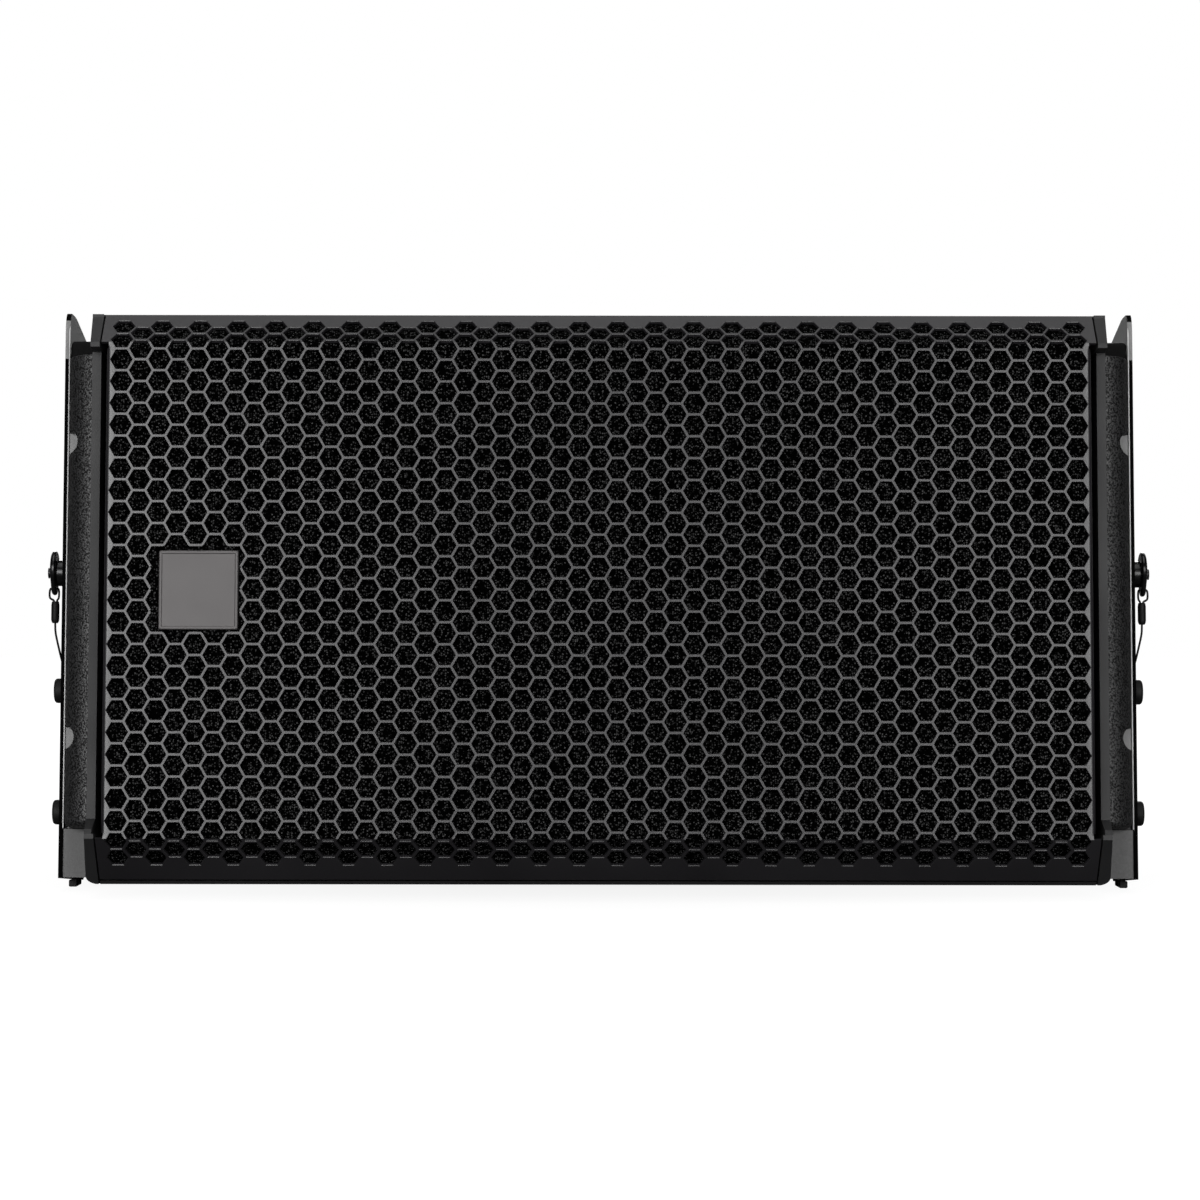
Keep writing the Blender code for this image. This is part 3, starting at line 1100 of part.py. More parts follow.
def make_rear_rigging():
    inner = BRACKET_INSIDE / 2
    outer = inner + BRACKET_SHEET
    web = ON_PANEL + BRACKET_SHEET
    edge = ON_PANEL + BRACKET_DEPTH
    outline = [(-outer, ON_PANEL), (outer, ON_PANEL), (outer, edge), (inner, edge), (inner, web), (-inner, web),
               (-inner, edge), (-outer, edge)]
    bracket = prism("rear_bracket", outline, "z", BRACKET_BOTTOM, BRACKET_TOP)
    past = (-outer - WALL, outer + WALL)
    cut(bracket, drum("pivot_hole", ARM_PIVOT_RADIUS + HOLE_CLEARANCE, "x", (PIVOT_Y, ARM_PIVOT_Z), *past),
        drum("pin_hole", PIN_RADIUS + HOLE_CLEARANCE, "x", (PIVOT_Y, REAR_PIN_Z), *past))
    piece(bracket, "painted_steel")

    half = ARM_WIDTH / 2
    thick = inner - ARM_SIDE_GAP
    low = ARM_PIVOT_Z - ARM_LENGTH
    outline = arc((PIVOT_Y, ARM_PIVOT_Z), half, 0, 180, 8) + arc((PIVOT_Y, low), half, 180, 360, 8)
    arm = prism("rear_link_arm", outline, "x", -thick, thick)
    cut(arm, drum("bore", ARM_PIVOT_RADIUS + HOLE_CLEARANCE, "x", (PIVOT_Y, ARM_PIVOT_Z), *past),
        drum("hole", PIN_RADIUS + HOLE_CLEARANCE, "x", (PIVOT_Y, low), *past))
    piece(arm, "zinc", (0, PIVOT_Y, ARM_PIVOT_Z))

    head = outer + CLEARANCE
    profile = [(0, -head - BOLT_HEAD), (BOLT_HEAD_RADIUS, -head - BOLT_HEAD), (BOLT_HEAD_RADIUS, -head),
               (ARM_PIVOT_RADIUS, -head), (ARM_PIVOT_RADIUS, head), (BOLT_HEAD_RADIUS, head),
               (BOLT_HEAD_RADIUS, head + BOLT_HEAD), (0, head + BOLT_HEAD)]
    piece(turned("rear_link_pivot", profile, "x", (PIVOT_Y, ARM_PIVOT_Z), 12), "dark_bolt", smooth=True)
    make_pin("rear_pin", "rear_pin_button", 1, outer, REAR_PIN_LENGTH, PIVOT_Y, REAR_PIN_Z)


# Feet: rubber shoes under the side plates and round pads under the rear of the cabinet

def make_feet(side, sign):
    near, far = FOOT_Y - FOOT_LENGTH / 2, FOOT_Y + FOOT_LENGTH / 2
    inside = sign * (PLATE_INSIDE - FOOT_LAP)
    sole_top = PLATE_BOTTOM - CLEARANCE
    shoe = block("front_foot_" + side, (inside, sign * PLATE_OUTSIDE), (near, far), (floor, sole_top))
    lip = block("lip", (inside, sign * (PLATE_INSIDE - CLEARANCE)), (near, far),
                (sole_top - FOOT_HEIGHT / 3, PLATE_BOTTOM + FOOT_LIP))
    piece(join(shoe, lip), "rubber")

    pad = prism("rear_foot_" + side, arc((sign * REAR_FOOT_X, REAR_FOOT_Y), REAR_FOOT_RADIUS, 0, 337.5, 15), "z",
                floor, beyond(bottom, -CLEARANCE))
    piece(pad, "rubber")


def stand_on_origin():
    """Move the standing frame so that the origin lies under the middle of the part, at its feet."""
    graph = bpy.context.evaluated_depsgraph_get()
    corners = []
    for made in bpy.data.objects:
        if made.type == "EMPTY":
            continue
        shown = made.evaluated_get(graph)
        corners += [shown.matrix_world @ vertex.co for vertex in shown.to_mesh().vertices]
        shown.to_mesh_clear()
    low = [min(corner[i] for corner in corners) for i in range(3)]
    high = [max(corner[i] for corner in corners) for i in range(3)]
    standing_frame.location = (-(low[0] + high[0]) / 2, -(low[1] + high[1]) / 2, -low[2])


make_cabinet()
make_baffle()
make_bezel()
make_grille()
make_foam()
make_badge()
make_waveguide()
make_amplifier()
make_socket("mains_inlet", SOCKET_COLUMNS[0], MAINS_ROW, 3 * MM, 0, 1, 5 * MM)
make_socket("mains_outlet", SOCKET_COLUMNS[1], MAINS_ROW, 3 * MM, 0, 1, 5 * MM)
make_socket("signal_input", SOCKET_COLUMNS[0], SIGNAL_ROW, 1.6 * MM, 4.5 * MM, 3, 5 * MM)
make_socket("signal_output", SOCKET_COLUMNS[1], SIGNAL_ROW, 1.2 * MM, 4.5 * MM, 3, 5 * MM)
make_controls()
make_rear_rigging()
for name, direction in SIDES:
    make_woofer(name, direction)
    make_handle(name, direction)
    make_plate(name, direction)
    make_bolts(name, direction)
    make_link(name, direction)
    make_pin("lock_pin_" + name, "pin_button_" + name, direction, PLATE_OUTSIDE, PIN_LENGTH, PIN_Y, PIN_Z)
    make_lanyard(name, direction)
    make_feet(name, direction)
stand_on_origin()
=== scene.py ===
import math

import bmesh
import bpy
import numpy as np
from mathutils import Matrix, Vector
from mathutils.geometry import delaunay_2d_cdt


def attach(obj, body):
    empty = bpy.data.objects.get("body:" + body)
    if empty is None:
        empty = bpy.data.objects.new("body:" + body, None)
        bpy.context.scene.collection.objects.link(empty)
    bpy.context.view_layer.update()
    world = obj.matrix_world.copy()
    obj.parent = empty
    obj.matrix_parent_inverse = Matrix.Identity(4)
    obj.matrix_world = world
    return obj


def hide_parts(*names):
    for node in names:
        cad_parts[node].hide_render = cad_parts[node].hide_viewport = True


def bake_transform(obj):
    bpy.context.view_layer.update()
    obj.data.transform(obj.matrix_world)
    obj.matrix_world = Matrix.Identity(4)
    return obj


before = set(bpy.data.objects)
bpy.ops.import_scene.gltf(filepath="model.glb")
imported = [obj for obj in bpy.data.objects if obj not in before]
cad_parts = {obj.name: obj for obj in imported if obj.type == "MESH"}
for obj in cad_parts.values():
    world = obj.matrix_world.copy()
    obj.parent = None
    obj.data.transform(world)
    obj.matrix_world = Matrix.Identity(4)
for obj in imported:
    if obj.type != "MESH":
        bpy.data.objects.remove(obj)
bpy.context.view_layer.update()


# Cabinet: a hollow moulded wedge of grained black polypropylene. Its flanks carry a rounded shoulder, a
# channel for the front link, half-round notches and, at the rear corners, pockets for the hands.

MM = 0.001
GAP = 0.3 * MM
SIDES = (("left", -1), ("right", 1))
WEDGE = math.radians(5)
HALF_HEIGHT = 117.6 * MM
FRAME_HALF = 210.5 * MM
SHOULDER_WIDTH, SHOULDER_DEPTH = 14.2 * MM, 15 * MM
SHOULDER_TOP, SHOULDER_FOOT = 105.7 * MM, -93.6 * MM
FLANK = FRAME_HALF + SHOULDER_WIDTH
REAR_HALF = FLANK - 38.7 * MM
BODY_DEPTH = 345 * MM
TAPER_START = 195 * MM
CABINET_FRONT = 42.3 * MM
SHOULDER_REAR = CABINET_FRONT + SHOULDER_DEPTH
WALL = 8 * MM
CAVITY_HALF = FLANK - 22 * MM
TOP_LIP_Y, BOTTOM_LIP_Y = 12.2 * MM, 16.26 * MM
FRONT_OPENING = (194.4 * MM, 92.8 * MM)
REAR_OPENING = (134 * MM, 66 * MM)
POCKET_DEPTH = 210 * MM
HAND_POCKET, HAND_POCKET_HALF = 24 * MM, 46 * MM
NOTCHES, NOTCH_RADIUS, NOTCH_DEPTH = (69.2 * MM, -55.6 * MM), 4.9 * MM, 50 * MM
PIN_Y, PIN_Z = 70 * MM, 15.4 * MM
PIN_HOLE, PIN_HOLE_DEPTH = 3.55 * MM, 26 * MM
LINK_HALF = 9 * MM
LINK_TOP, LINK_BOTTOM = 111.1 * MM, -25.15 * MM
CHANNEL_FLOOR = FLANK - 5 * MM
BOLTS = {"front_upper": (67 * MM, -35.1 * MM), "front_lower": (67 * MM, -86.6 * MM),
         "rear_upper": (154.5 * MM, 52 * MM), "rear_lower": (154.5 * MM, -52 * MM)}
BOLT_HOLE, BOLT_REACH = 3.4 * MM, 15 * MM
PLATE_INSIDE = FLANK + GAP
PLATE_OUTSIDE = PLATE_INSIDE + 2 * MM
PANEL_HALF, PANEL_HALF_HEIGHT = 150 * MM, 74 * MM


def colour(code):
    """An sRGB hex value as linear red, green, blue and alpha."""
    parts = [int(code[i:i + 2], 16) / 255 for i in (1, 3, 5)]
    return [p / 12.92 if p <= 0.04045 else ((p + 0.055) / 1.055) ** 2.4 for p in parts] + [1]


def add(tree, kind, inputs, **settings):
    """One shader node with its settings; an input takes a value, or the socket that feeds it."""
    made = tree.nodes.new("ShaderNode" + kind)
    for name, value in settings.items():
        setattr(made, name, value)
    for name, value in inputs.items():
        if isinstance(value, bpy.types.NodeSocket):
            tree.links.new(value, made.inputs[name])
        else:
            made.inputs[name].default_value = value
    return made


def blank(name):
    """An empty material, its node tree and the place on the object that its patterns are drawn from."""
    made = bpy.data.materials.new(name)
    made.use_nodes = True
    made.node_tree.nodes.clear()
    return made, made.node_tree, add(made.node_tree, "TexCoord", {}).outputs["Object"]


# Grained polypropylene: black; the tops of its 0.8 mm leather grain are coloured as fine grey flecks, a
# painted highlight for the light they catch, beside their real bump and shine; where a surface turns away
# from the light it goes black
grained_plastic, tree, place = blank("grained_polypropylene")
flecks = add(tree, "TexNoise", {"Vector": place, "Scale": 1 / (0.8 * MM), "Detail": 1.0}).outputs["Fac"]
tops = add(tree, "MapRange", {"Value": flecks, "From Min": 0.38, "From Max": 0.62}).outputs["Result"]
tint = add(tree, "Mix", {0: tops, 6: colour("#070707"), 7: colour("#212122")}, data_type="RGBA").outputs[2]
wear_and_painted_light = add(tree, "TexNoise", {"Vector": place, "Scale": 1 / (26 * MM), "Detail": 3.0}).outputs["Fac"]
sheen = add(tree, "MapRange", {"Value": wear_and_painted_light, "To Min": 0.46, "To Max": 0.56}).outputs["Result"]
grain = add(tree, "Bump", {"Height": tops, "Distance": 0.08 * MM}).outputs["Normal"]
shine = add(tree, "MapRange", {"Value": tops, "To Min": 0.2, "To Max": 1.0}).outputs["Result"]
shader = add(tree, "BsdfPrincipled", {"Base Color": tint, "Roughness": sheen, "IOR": 1.49, "Normal": grain,
                                      "Specular IOR Level": shine})
add(tree, "OutputMaterial", {"Surface": shader.outputs["BSDF"]})

# Painted shade on the land of the same moulding above the shoulders: a darker dull colour without grain, so
# it reads as plain black shade
land_painted_shade, tree, place = blank("smooth_painted_shade_polypropylene")
haze = add(tree, "TexNoise", {"Vector": place, "Scale": 1 / (4 * MM), "Detail": 2.0}).outputs["Fac"]
tint = add(tree, "Mix", {0: haze, 6: colour("#060606"), 7: colour("#0f0f0f")}, data_type="RGBA").outputs[2]
grain = add(tree, "Bump", {"Height": haze, "Distance": 0.05 * MM}).outputs["Normal"]
shader = add(tree, "BsdfPrincipled", {"Base Color": tint, "Roughness": 0.9, "IOR": 1.49, "Normal": grain,
                                      "Specular IOR Level": 0.15})
add(tree, "OutputMaterial", {"Surface": shader.outputs["BSDF"]})


def top(y, extra=0.0):
    return HALF_HEIGHT - (y - TOP_LIP_Y) * math.tan(WEDGE) + extra


def bottom(y, extra=0.0):
    return -HALF_HEIGHT + (y - BOTTOM_LIP_Y) * math.tan(WEDGE) + extra


def mirrored(half):
    return half + [(-x, y) for x, y in reversed(half)]


def solid(name, mesh):
    """Link a bmesh as a new object, with its faces pointing out."""
    bmesh.ops.recalc_face_normals(mesh, faces=mesh.faces)
    data = bpy.data.meshes.new(name)
    mesh.to_mesh(data)
    mesh.free()
    made = bpy.data.objects.new(name, data)
    bpy.context.scene.collection.objects.link(made)
    return made


def loft(name, rings):
    """Skin rings of equally many points and fill both ends."""
    mesh = bmesh.new()
    rows = [[mesh.verts.new(point) for point in ring] for ring in rings]
    mesh.faces.new(rows[0])
    mesh.faces.new(rows[-1])
    for row, after in zip(rows, rows[1:]):
        for i in range(len(row)):
            mesh.faces.new((row[i - 1], row[i], after[i], after[i - 1]))
    return solid(name, mesh)


def prism(name, outline, axis, low, high):
    """An outline across an axis, drawn out between two levels; along Z a level may follow the depth."""

    def place(a, b, level):
        if axis == "x":
            return (level, a, b)
        if axis == "y":
            return (a, level, b)
        return (a, b, level(b) if callable(level) else level)

    return loft(name, [[place(a, b, level) for a, b in outline] for level in (low, high)])


def block(name, x, y, z):
    """A box between pairs of limits."""
    return prism(name, [(x[0], y[0]), (x[1], y[0]), (x[1], y[1]), (x[0], y[1])], "z", z[0], z[1])


def turned(name, profile, axis, centre, segments=32):
    """A profile of (radius, distance along the axis) turned about an axis, with both ends filled."""
    order = {"x": (1, 2, 0), "y": (0, 2, 1), "z": (0, 1, 2)}[axis]
    rings = []
    for radius, along in profile:
        ring = []
        for i in range(segments):
            place = [0, 0, 0]
            place[order[0]] = centre[0] + max(radius, 1e-6) * math.cos(math.tau * i / segments)
            place[order[1]] = centre[1] + max(radius, 1e-6) * math.sin(math.tau * i / segments)
            place[order[2]] = along
            ring.append(place)
        rings.append(ring)
    return loft(name, rings)


def drum(name, radius, axis, centre, low, high, segments=32):
    return turned(name, [(radius, low), (radius, high)], axis, centre, segments)


def arc(centre, radius, first, last, steps):
    """Points along an arc, between two angles in degrees."""
    angles = [math.radians(first + (last - first) * i / steps) for i in range(steps + 1)]
    return [(centre[0] + radius * math.cos(a), centre[1] + radius * math.sin(a)) for a in angles]


def settle(made):
    """Apply an object's modifiers for good."""
    graph = bpy.context.evaluated_depsgraph_get()
    shaped = bpy.data.meshes.new_from_object(made.evaluated_get(graph))
    made.modifiers.clear()
    made.data = shaped
    return made


def combine(target, operation, tools):
    for tool in tools:
        modifier = target.modifiers.new(operation, "BOOLEAN")
        modifier.operation = operation
        modifier.solver = "EXACT"
        modifier.object = tool
    settle(target)
    for tool in tools:
        bpy.data.objects.remove(tool)
    return target


def cut(target, *tools):
    return combine(target, "DIFFERENCE", tools)


def join(target, *tools):
    return combine(target, "UNION", tools)


def soften(made, width, segments=3, angle=40):
    """Round the edges that are sharper than an angle."""
    modifier = made.modifiers.new("edges", "BEVEL")
    modifier.width = width
    modifier.segments = segments
    modifier.limit_method = "ANGLE"
    modifier.angle_limit = math.radians(angle)
    return settle(made)


# Meshes are drawn upright, with X to the right, Y from the grille face to the rear and Z up from the middle
# of the body. They are then stood up: the cabinet leans back on its feet by its own wedge angle
FACE_Y, MIDDLE_Z = -0.18633, 0.124623
STANDING = Matrix.Translation((0, FACE_Y, MIDDLE_Z)) @ Matrix.Rotation(-WEDGE, 4, "X")


def show(made, finishes, body="enclosure", nodes=(), smooth=35, pick=None):
    """Finish a mesh: pick a material for each face, stand it up and let it ride on its body for CAD nodes."""
    chosen = [pick(face) for face in made.data.polygons] if pick else [0] * len(made.data.polygons)
    made.data.materials.clear()
    for finish in finishes if pick else [finishes]:
        made.data.materials.append(finish)
    made.data.polygons.foreach_set("material_index", chosen)
    made.data.shade_smooth()
    made.data.set_sharp_from_angle(angle=math.radians(smooth))
    # Large faces keep their own normal, so that flat sheet stays flat beside its rounded edges
    modifier = made.modifiers.new("normals", "WEIGHTED_NORMAL")
    modifier.weight = 100
    modifier.keep_sharp = True
    settle(made)
    made.data.transform(STANDING)
    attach(made, body)
    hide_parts(*nodes)


cabinet = prism("cabinet_moulding", mirrored([
    (FRAME_HALF, CABINET_FRONT), (FRAME_HALF, SHOULDER_REAR), (FLANK, SHOULDER_REAR), (FLANK, TAPER_START),
    (REAR_HALF, BODY_DEPTH)]), "z", bottom, top)
soften(cabinet, 1.6 * MM, 3, 8)


def make_shoulder(sign):
    """The rounded shoulder, with a crisp upper end and a soft lower end."""
    rings = []
    for end, way, round_off in ((SHOULDER_FOOT, 1, 3.3 * MM), (SHOULDER_TOP, -1, 0.7 * MM)):
        ends = []
        for c, s in arc((0, 0), 1, 0, 90, 6):
            inset, rise = round_off * (1 - s), round_off * (1 - c)
            width, depth = SHOULDER_WIDTH - inset, SHOULDER_DEPTH - inset
            outline = [(FRAME_HALF - WALL, CABINET_FRONT + GAP + inset)]
            outline += [(FRAME_HALF + width * x, CABINET_FRONT + GAP + SHOULDER_DEPTH + depth * y)
                        for x, y in arc((0, 0), 1, -90, 0, 20)]
            outline += [(FRAME_HALF + width, SHOULDER_REAR + WALL), (FRAME_HALF - WALL, SHOULDER_REAR + WALL)]
            ends.append([(sign * x, y, end + way * rise) for x, y in outline])
        rings += ends if way > 0 else ends[::-1]
    return loft("shoulder", rings)


join(cabinet, *[make_shoulder(sign) for side, sign in SIDES])
rear_inside = PANEL_HALF - GAP - WALL / 2
cut(cabinet,
    prism("cavity", mirrored([
        (CAVITY_HALF, CABINET_FRONT + WALL), (CAVITY_HALF, TAPER_START),
        (rear_inside, BODY_DEPTH - HAND_POCKET - WALL), (rear_inside, BODY_DEPTH - WALL)]),
        "z", lambda y: bottom(y, WALL), lambda y: top(y, -WALL)),
    block("front_opening", (-FRONT_OPENING[0], FRONT_OPENING[0]),
          (CABINET_FRONT - WALL, CABINET_FRONT + 2 * WALL), (-FRONT_OPENING[1], FRONT_OPENING[1])),
    block("rear_opening", (-REAR_OPENING[0], REAR_OPENING[0]),
          (BODY_DEPTH - 2 * WALL, BODY_DEPTH + WALL), (-REAR_OPENING[1], REAR_OPENING[1])))
for side, sign in SIDES:
    past = sign * (FLANK + WALL)
    tools = [
        block("pocket", (sign * (FRAME_HALF + GAP), past),
              (CABINET_FRONT - WALL, CABINET_FRONT + POCKET_DEPTH), (-2 * HALF_HEIGHT, SHOULDER_FOOT)),
        block("channel", (sign * CHANNEL_FLOOR, past), (PIN_Y - LINK_HALF - GAP, PIN_Y + LINK_HALF + GAP),
              (LINK_BOTTOM - GAP, 2 * HALF_HEIGHT)),
        drum("pin_hole", PIN_HOLE, "x", (PIN_Y, PIN_Z), sign * (PLATE_OUTSIDE - PIN_HOLE_DEPTH), past),
        block("hand_pocket", (sign * (PANEL_HALF + GAP), past), (BODY_DEPTH - HAND_POCKET, BODY_DEPTH + WALL),
              (-HAND_POCKET_HALF, HAND_POCKET_HALF))]
    for height in NOTCHES:
        tools.append(drum("notch", NOTCH_RADIUS, "y", (sign * FLANK, height), CABINET_FRONT - WALL,
                          CABINET_FRONT + NOTCH_DEPTH))
    bolt_end = sign * (PLATE_OUTSIDE - BOLT_REACH - GAP)
    tools += [drum("bolt_hole", BOLT_HOLE, "x", spot, bolt_end, past, 16) for spot in BOLTS.values()]
    cut(cabinet, *tools)


def on_shaded_land(face):
    """The front of the flanks above the shoulders, where the shade is painted on."""
    return int(abs(face.center.x) > FRAME_HALF and face.center.z > SHOULDER_TOP + 0.1 * MM
               and CABINET_FRONT + MM < face.center.y < SHOULDER_REAR + 3 * MM and face.normal.z < 0.95)


show(cabinet, (grained_plastic, land_painted_shade), nodes=["cabinet"], pick=on_shaded_land)


# Baffle and drivers: sealed behind the grille and its foam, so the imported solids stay. Only the edge of
# the painted baffle shows, down the dark gap beside the grille.

def coat(name, dark, pale, patch, rough, grain, depth, metallic=0.0, specular=0.5, stretch=(1, 1, 1)):
    """A material that drifts between two colours and two roughnesses over patches, with a finely grained
    relief. Patch, grain and depth are in millimetres, and stretch draws the grain out along the axes."""
    made, tree, place = blank(name)
    drift = add(tree, "TexNoise", {"Vector": place, "Scale": 1 / (patch * MM), "Detail": 3.0}).outputs["Fac"]
    share = add(tree, "MapRange", {"Value": drift, "From Min": 0.3, "From Max": 0.7}).outputs["Result"]
    tint = add(tree, "Mix", {0: share, 6: colour(dark), 7: colour(pale)}, data_type="RGBA").outputs[2]
    sheen = add(tree, "MapRange", {"Value": share, "To Min": rough[0], "To Max": rough[1]}).outputs["Result"]
    drawn = add(tree, "Mapping", {"Vector": place,
                                  "Scale": [1 / (grain * s * MM) for s in stretch]}).outputs["Vector"]
    fine = add(tree, "TexNoise", {"Vector": drawn, "Scale": 1.0, "Detail": 2.0}).outputs["Fac"]
    bump = add(tree, "Bump", {"Height": fine, "Distance": depth * MM}).outputs["Normal"]
    shader = add(tree, "BsdfPrincipled", {"Base Color": tint, "Roughness": sheen, "Metallic": metallic,
                                          "Specular IOR Level": specular, "IOR": 1.5, "Normal": bump})
    add(tree, "OutputMaterial", {"Surface": shader.outputs["BSDF"]})
    return made


def dress(finish, *names):
    """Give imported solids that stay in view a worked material."""
    for name in names:
        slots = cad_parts[name].data.materials
        slots.clear()
        slots.append(finish)


# Painted plywood: flat black with a trace of the veneer running along X
dress(coat("painted_plywood", "#0a0a0a", "#101010", 30, (0.68, 0.82), 1.2, 0.05, stretch=(14, 1, 1)),
      "baffle")
# Coated pulp: fibrous and almost without shine
dress(coat("coated_pulp", "#101010", "#1f1f1f", 6, (0.75, 0.85), 0.8, 0.08), "woofer_cone_left",
      "woofer_cone_right")
# Sintered ferrite: grey and slightly chalky
dress(coat("sintered_ferrite", "#343436", "#444446", 12, (0.6, 0.72), 0.5, 0.03, 0.2), "woofer_magnet_left",
      "woofer_magnet_right", "compression_driver")
# Moulded rubber: soft black with a faint bloom
rubber = coat("moulded_rubber", "#0b0b0b", "#171717", 9, (0.66, 0.8), 0.5, 0.05)
dress(rubber, "woofer_surround_left", "woofer_surround_right")
# Basket enamel: even black paint on pressed steel
dress(coat("basket_enamel", "#141415", "#19191a", 20, (0.4, 0.52), 0.7, 0.02), "woofer_basket_left",
      "woofer_basket_right")
# Glass-fibre board: green lacquer over a woven core
dress(coat("glass_fibre_board", "#1b4227", "#245232", 15, (0.45, 0.55), 0.9, 0.02), "amplifier_board")
dress(grained_plastic, "waveguide")


# Front frame: satin black moulding around the grille. Side rails stand back between cheeks that follow the
# folds of the sheet, and a thin lip closes the top and bottom edges.

# Fine-etched satin plastic: smoother than the cabinet, so the rails show a soft even sheen
satin_plastic = coat("satin_plastic", "#101011", "#161617", 40, (0.56, 0.66), 0.4, 0.02)

FRAME_DEPTH = 42 * MM
CHEEK = 5.8 * MM
RAIL, RAIL_SETBACK, RAIL_END = 4.5 * MM, 13.7 * MM, 29.7 * MM
DRAFT, DRAFT_DEPTH = 2 * MM, 27 * MM
TOP_LIP, BOTTOM_LIP = 1.3 * MM, 2 * MM
LIP_TURN = 1.4 * MM
BAR_HEIGHT, BAR_SETBACK = 14.5 * MM, 11 * MM
FOLD_TOP = HALF_HEIGHT - TOP_LIP - TOP_LIP_Y
FOLD_BOTTOM = -HALF_HEIGHT + BOTTOM_LIP + BOTTOM_LIP_Y
CHEEK_TOP, CHEEK_BOTTOM = FOLD_TOP - 2 * MM, FOLD_BOTTOM + 2 * MM
CORNER_WIDTH, CORNER_RISE = 6.5 * MM, 3.2 * MM


def merge(target, *others):
    """Put closed shells that touch into one mesh."""
    mesh = bmesh.new()
    for made in (target, *others):
        mesh.from_mesh(made.data)
    mesh.to_mesh(target.data)
    mesh.free()
    for made in others:
        bpy.data.objects.remove(made)
    return target


profile = [(FRAME_DEPTH, top(FRAME_DEPTH)), (TOP_LIP_Y, HALF_HEIGHT), (TOP_LIP_Y, HALF_HEIGHT - TOP_LIP),
           (0, FOLD_TOP), (0, CHEEK_TOP), (RAIL_SETBACK, CHEEK_TOP), (RAIL_SETBACK, CHEEK_BOTTOM + 6.5 * MM),
           (1.5 * MM, CHEEK_BOTTOM + 2 * MM), (0, CHEEK_BOTTOM), (0, FOLD_BOTTOM),
           (BOTTOM_LIP_Y, -HALF_HEIGHT + BOTTOM_LIP),
           (BOTTOM_LIP_Y + LIP_TURN, bottom(BOTTOM_LIP_Y + LIP_TURN)), (FRAME_DEPTH, bottom(FRAME_DEPTH))]
shells = []
for side, sign in SIDES:
    cheek = prism("cheek", profile, "x", sign * (FRAME_HALF - CHEEK), sign * FRAME_HALF)
    rail_inner = sign * (FRAME_HALF - RAIL)
    relief = block("rail_relief", (0.5 * rail_inner, rail_inner), (-RAIL_SETBACK, RAIL_END),
                   (CHEEK_BOTTOM, CHEEK_TOP))
    past = sign * 1.1 * FRAME_HALF
    corner = [(past, -1.1 * HALF_HEIGHT), (sign * (FRAME_HALF - CORNER_WIDTH), -1.1 * HALF_HEIGHT)]
    corner += [(sign * (FRAME_HALF - CORNER_WIDTH * (1 - x)), -HALF_HEIGHT + CORNER_RISE * (1 + z))
               for x, z in arc((0, 0), 1, -90, 0, 12)]
    corner.append((past, -HALF_HEIGHT + CORNER_RISE))
    cut(cheek, relief, prism("corner", corner, "y", -FRAME_DEPTH, 2 * FRAME_DEPTH))
    shells.append(soften(cheek, 0.45 * MM, 3, 30))
for level, lip_y, sign, thick, turn in ((top, TOP_LIP_Y + 1.2 * MM, 1, 0.7 * MM, 0),
                                        (bottom, BOTTOM_LIP_Y, -1, 1.4 * MM, LIP_TURN)):
    # The sheet runs up to the top edge, so that the lip there is behind it; the lower lip turns under
    bar_front = lip_y + BAR_SETBACK
    inner_edge = sign * (HALF_HEIGHT - BAR_HEIGHT)
    under = lip_y + turn
    outline = [(under, level(under)), (FRAME_DEPTH, level(FRAME_DEPTH)), (FRAME_DEPTH, inner_edge),
               (bar_front, inner_edge), (bar_front, level(bar_front) - sign * thick),
               (lip_y, level(lip_y) - sign * thick)]
    reach = FRAME_HALF - (CORNER_WIDTH if sign < 0 else CHEEK / 2)
    shells.append(soften(prism("bar", outline, "x", -reach, reach), 0.15 * MM, 2, 30))
bezel = merge(*shells)
bezel.name = "front_frame"
for vertex in bezel.data.vertices:
    # The outer sides are drawn in towards the front, so that the moulding leaves its tool
    lean = DRAFT * max(0, 1 - vertex.co.y / DRAFT_DEPTH)
    outward = max(0, abs(vertex.co.x) - (FRAME_HALF - CHEEK)) / CHEEK
    vertex.co.x -= math.copysign(lean * outward, vertex.co.x)
show(bezel, satin_plastic, nodes=["bezel"])


# Foam: a 4 mm sheet of black open-cell polyurethane that keeps dust off the drivers. It is cut to the shape
# of the grille and glued against its back, inside the folds.

# Open-cell foam: it swallows the light, and the glints on the cut ends of its 0.85 mm cells are painted into
# its colour as dim grey specks
foam_skin, tree, place = blank("open_cell_foam")
cells = add(tree, "TexVoronoi", {"Vector": place, "Scale": 1 / (0.85 * MM)})
near = add(tree, "MapRange", {"Value": cells.outputs["Distance"], "From Min": 0.15, "From Max": 0.5,
                              "To Min": 1.0, "To Max": 0.0}).outputs["Result"]
pick = add(tree, "SeparateColor", {"Color": cells.outputs["Color"]}).outputs[0]
some = add(tree, "MapRange", {"Value": pick, "From Min": 0.3, "From Max": 1.0}).outputs["Result"]
speck = add(tree, "Math", {0: near, 1: some}, operation="MULTIPLY").outputs[0]
tint = add(tree, "Mix", {0: speck, 6: colour("#000000"), 7: colour("#4a4a4a")}, data_type="RGBA").outputs[2]
bump = add(tree, "Bump", {"Height": cells.outputs["Distance"], "Distance": 0.5 * MM}).outputs["Normal"]
shader = add(tree, "BsdfPrincipled", {"Base Color": tint, "Roughness": 0.95, "Specular IOR Level": 0.02,
                                      "Normal": bump})
add(tree, "OutputMaterial", {"Surface": shader.outputs["BSDF"]})

FOAM, FOAM_SHORT = 4 * MM, 3 * MM
SHEET = 1.5 * MM
BAND = math.radians(45)
TOP_BAND, BOTTOM_BAND = 18.4 * MM, 23 * MM
GRILLE_HALF = 201 * MM
BAND_HALF = 204 * MM


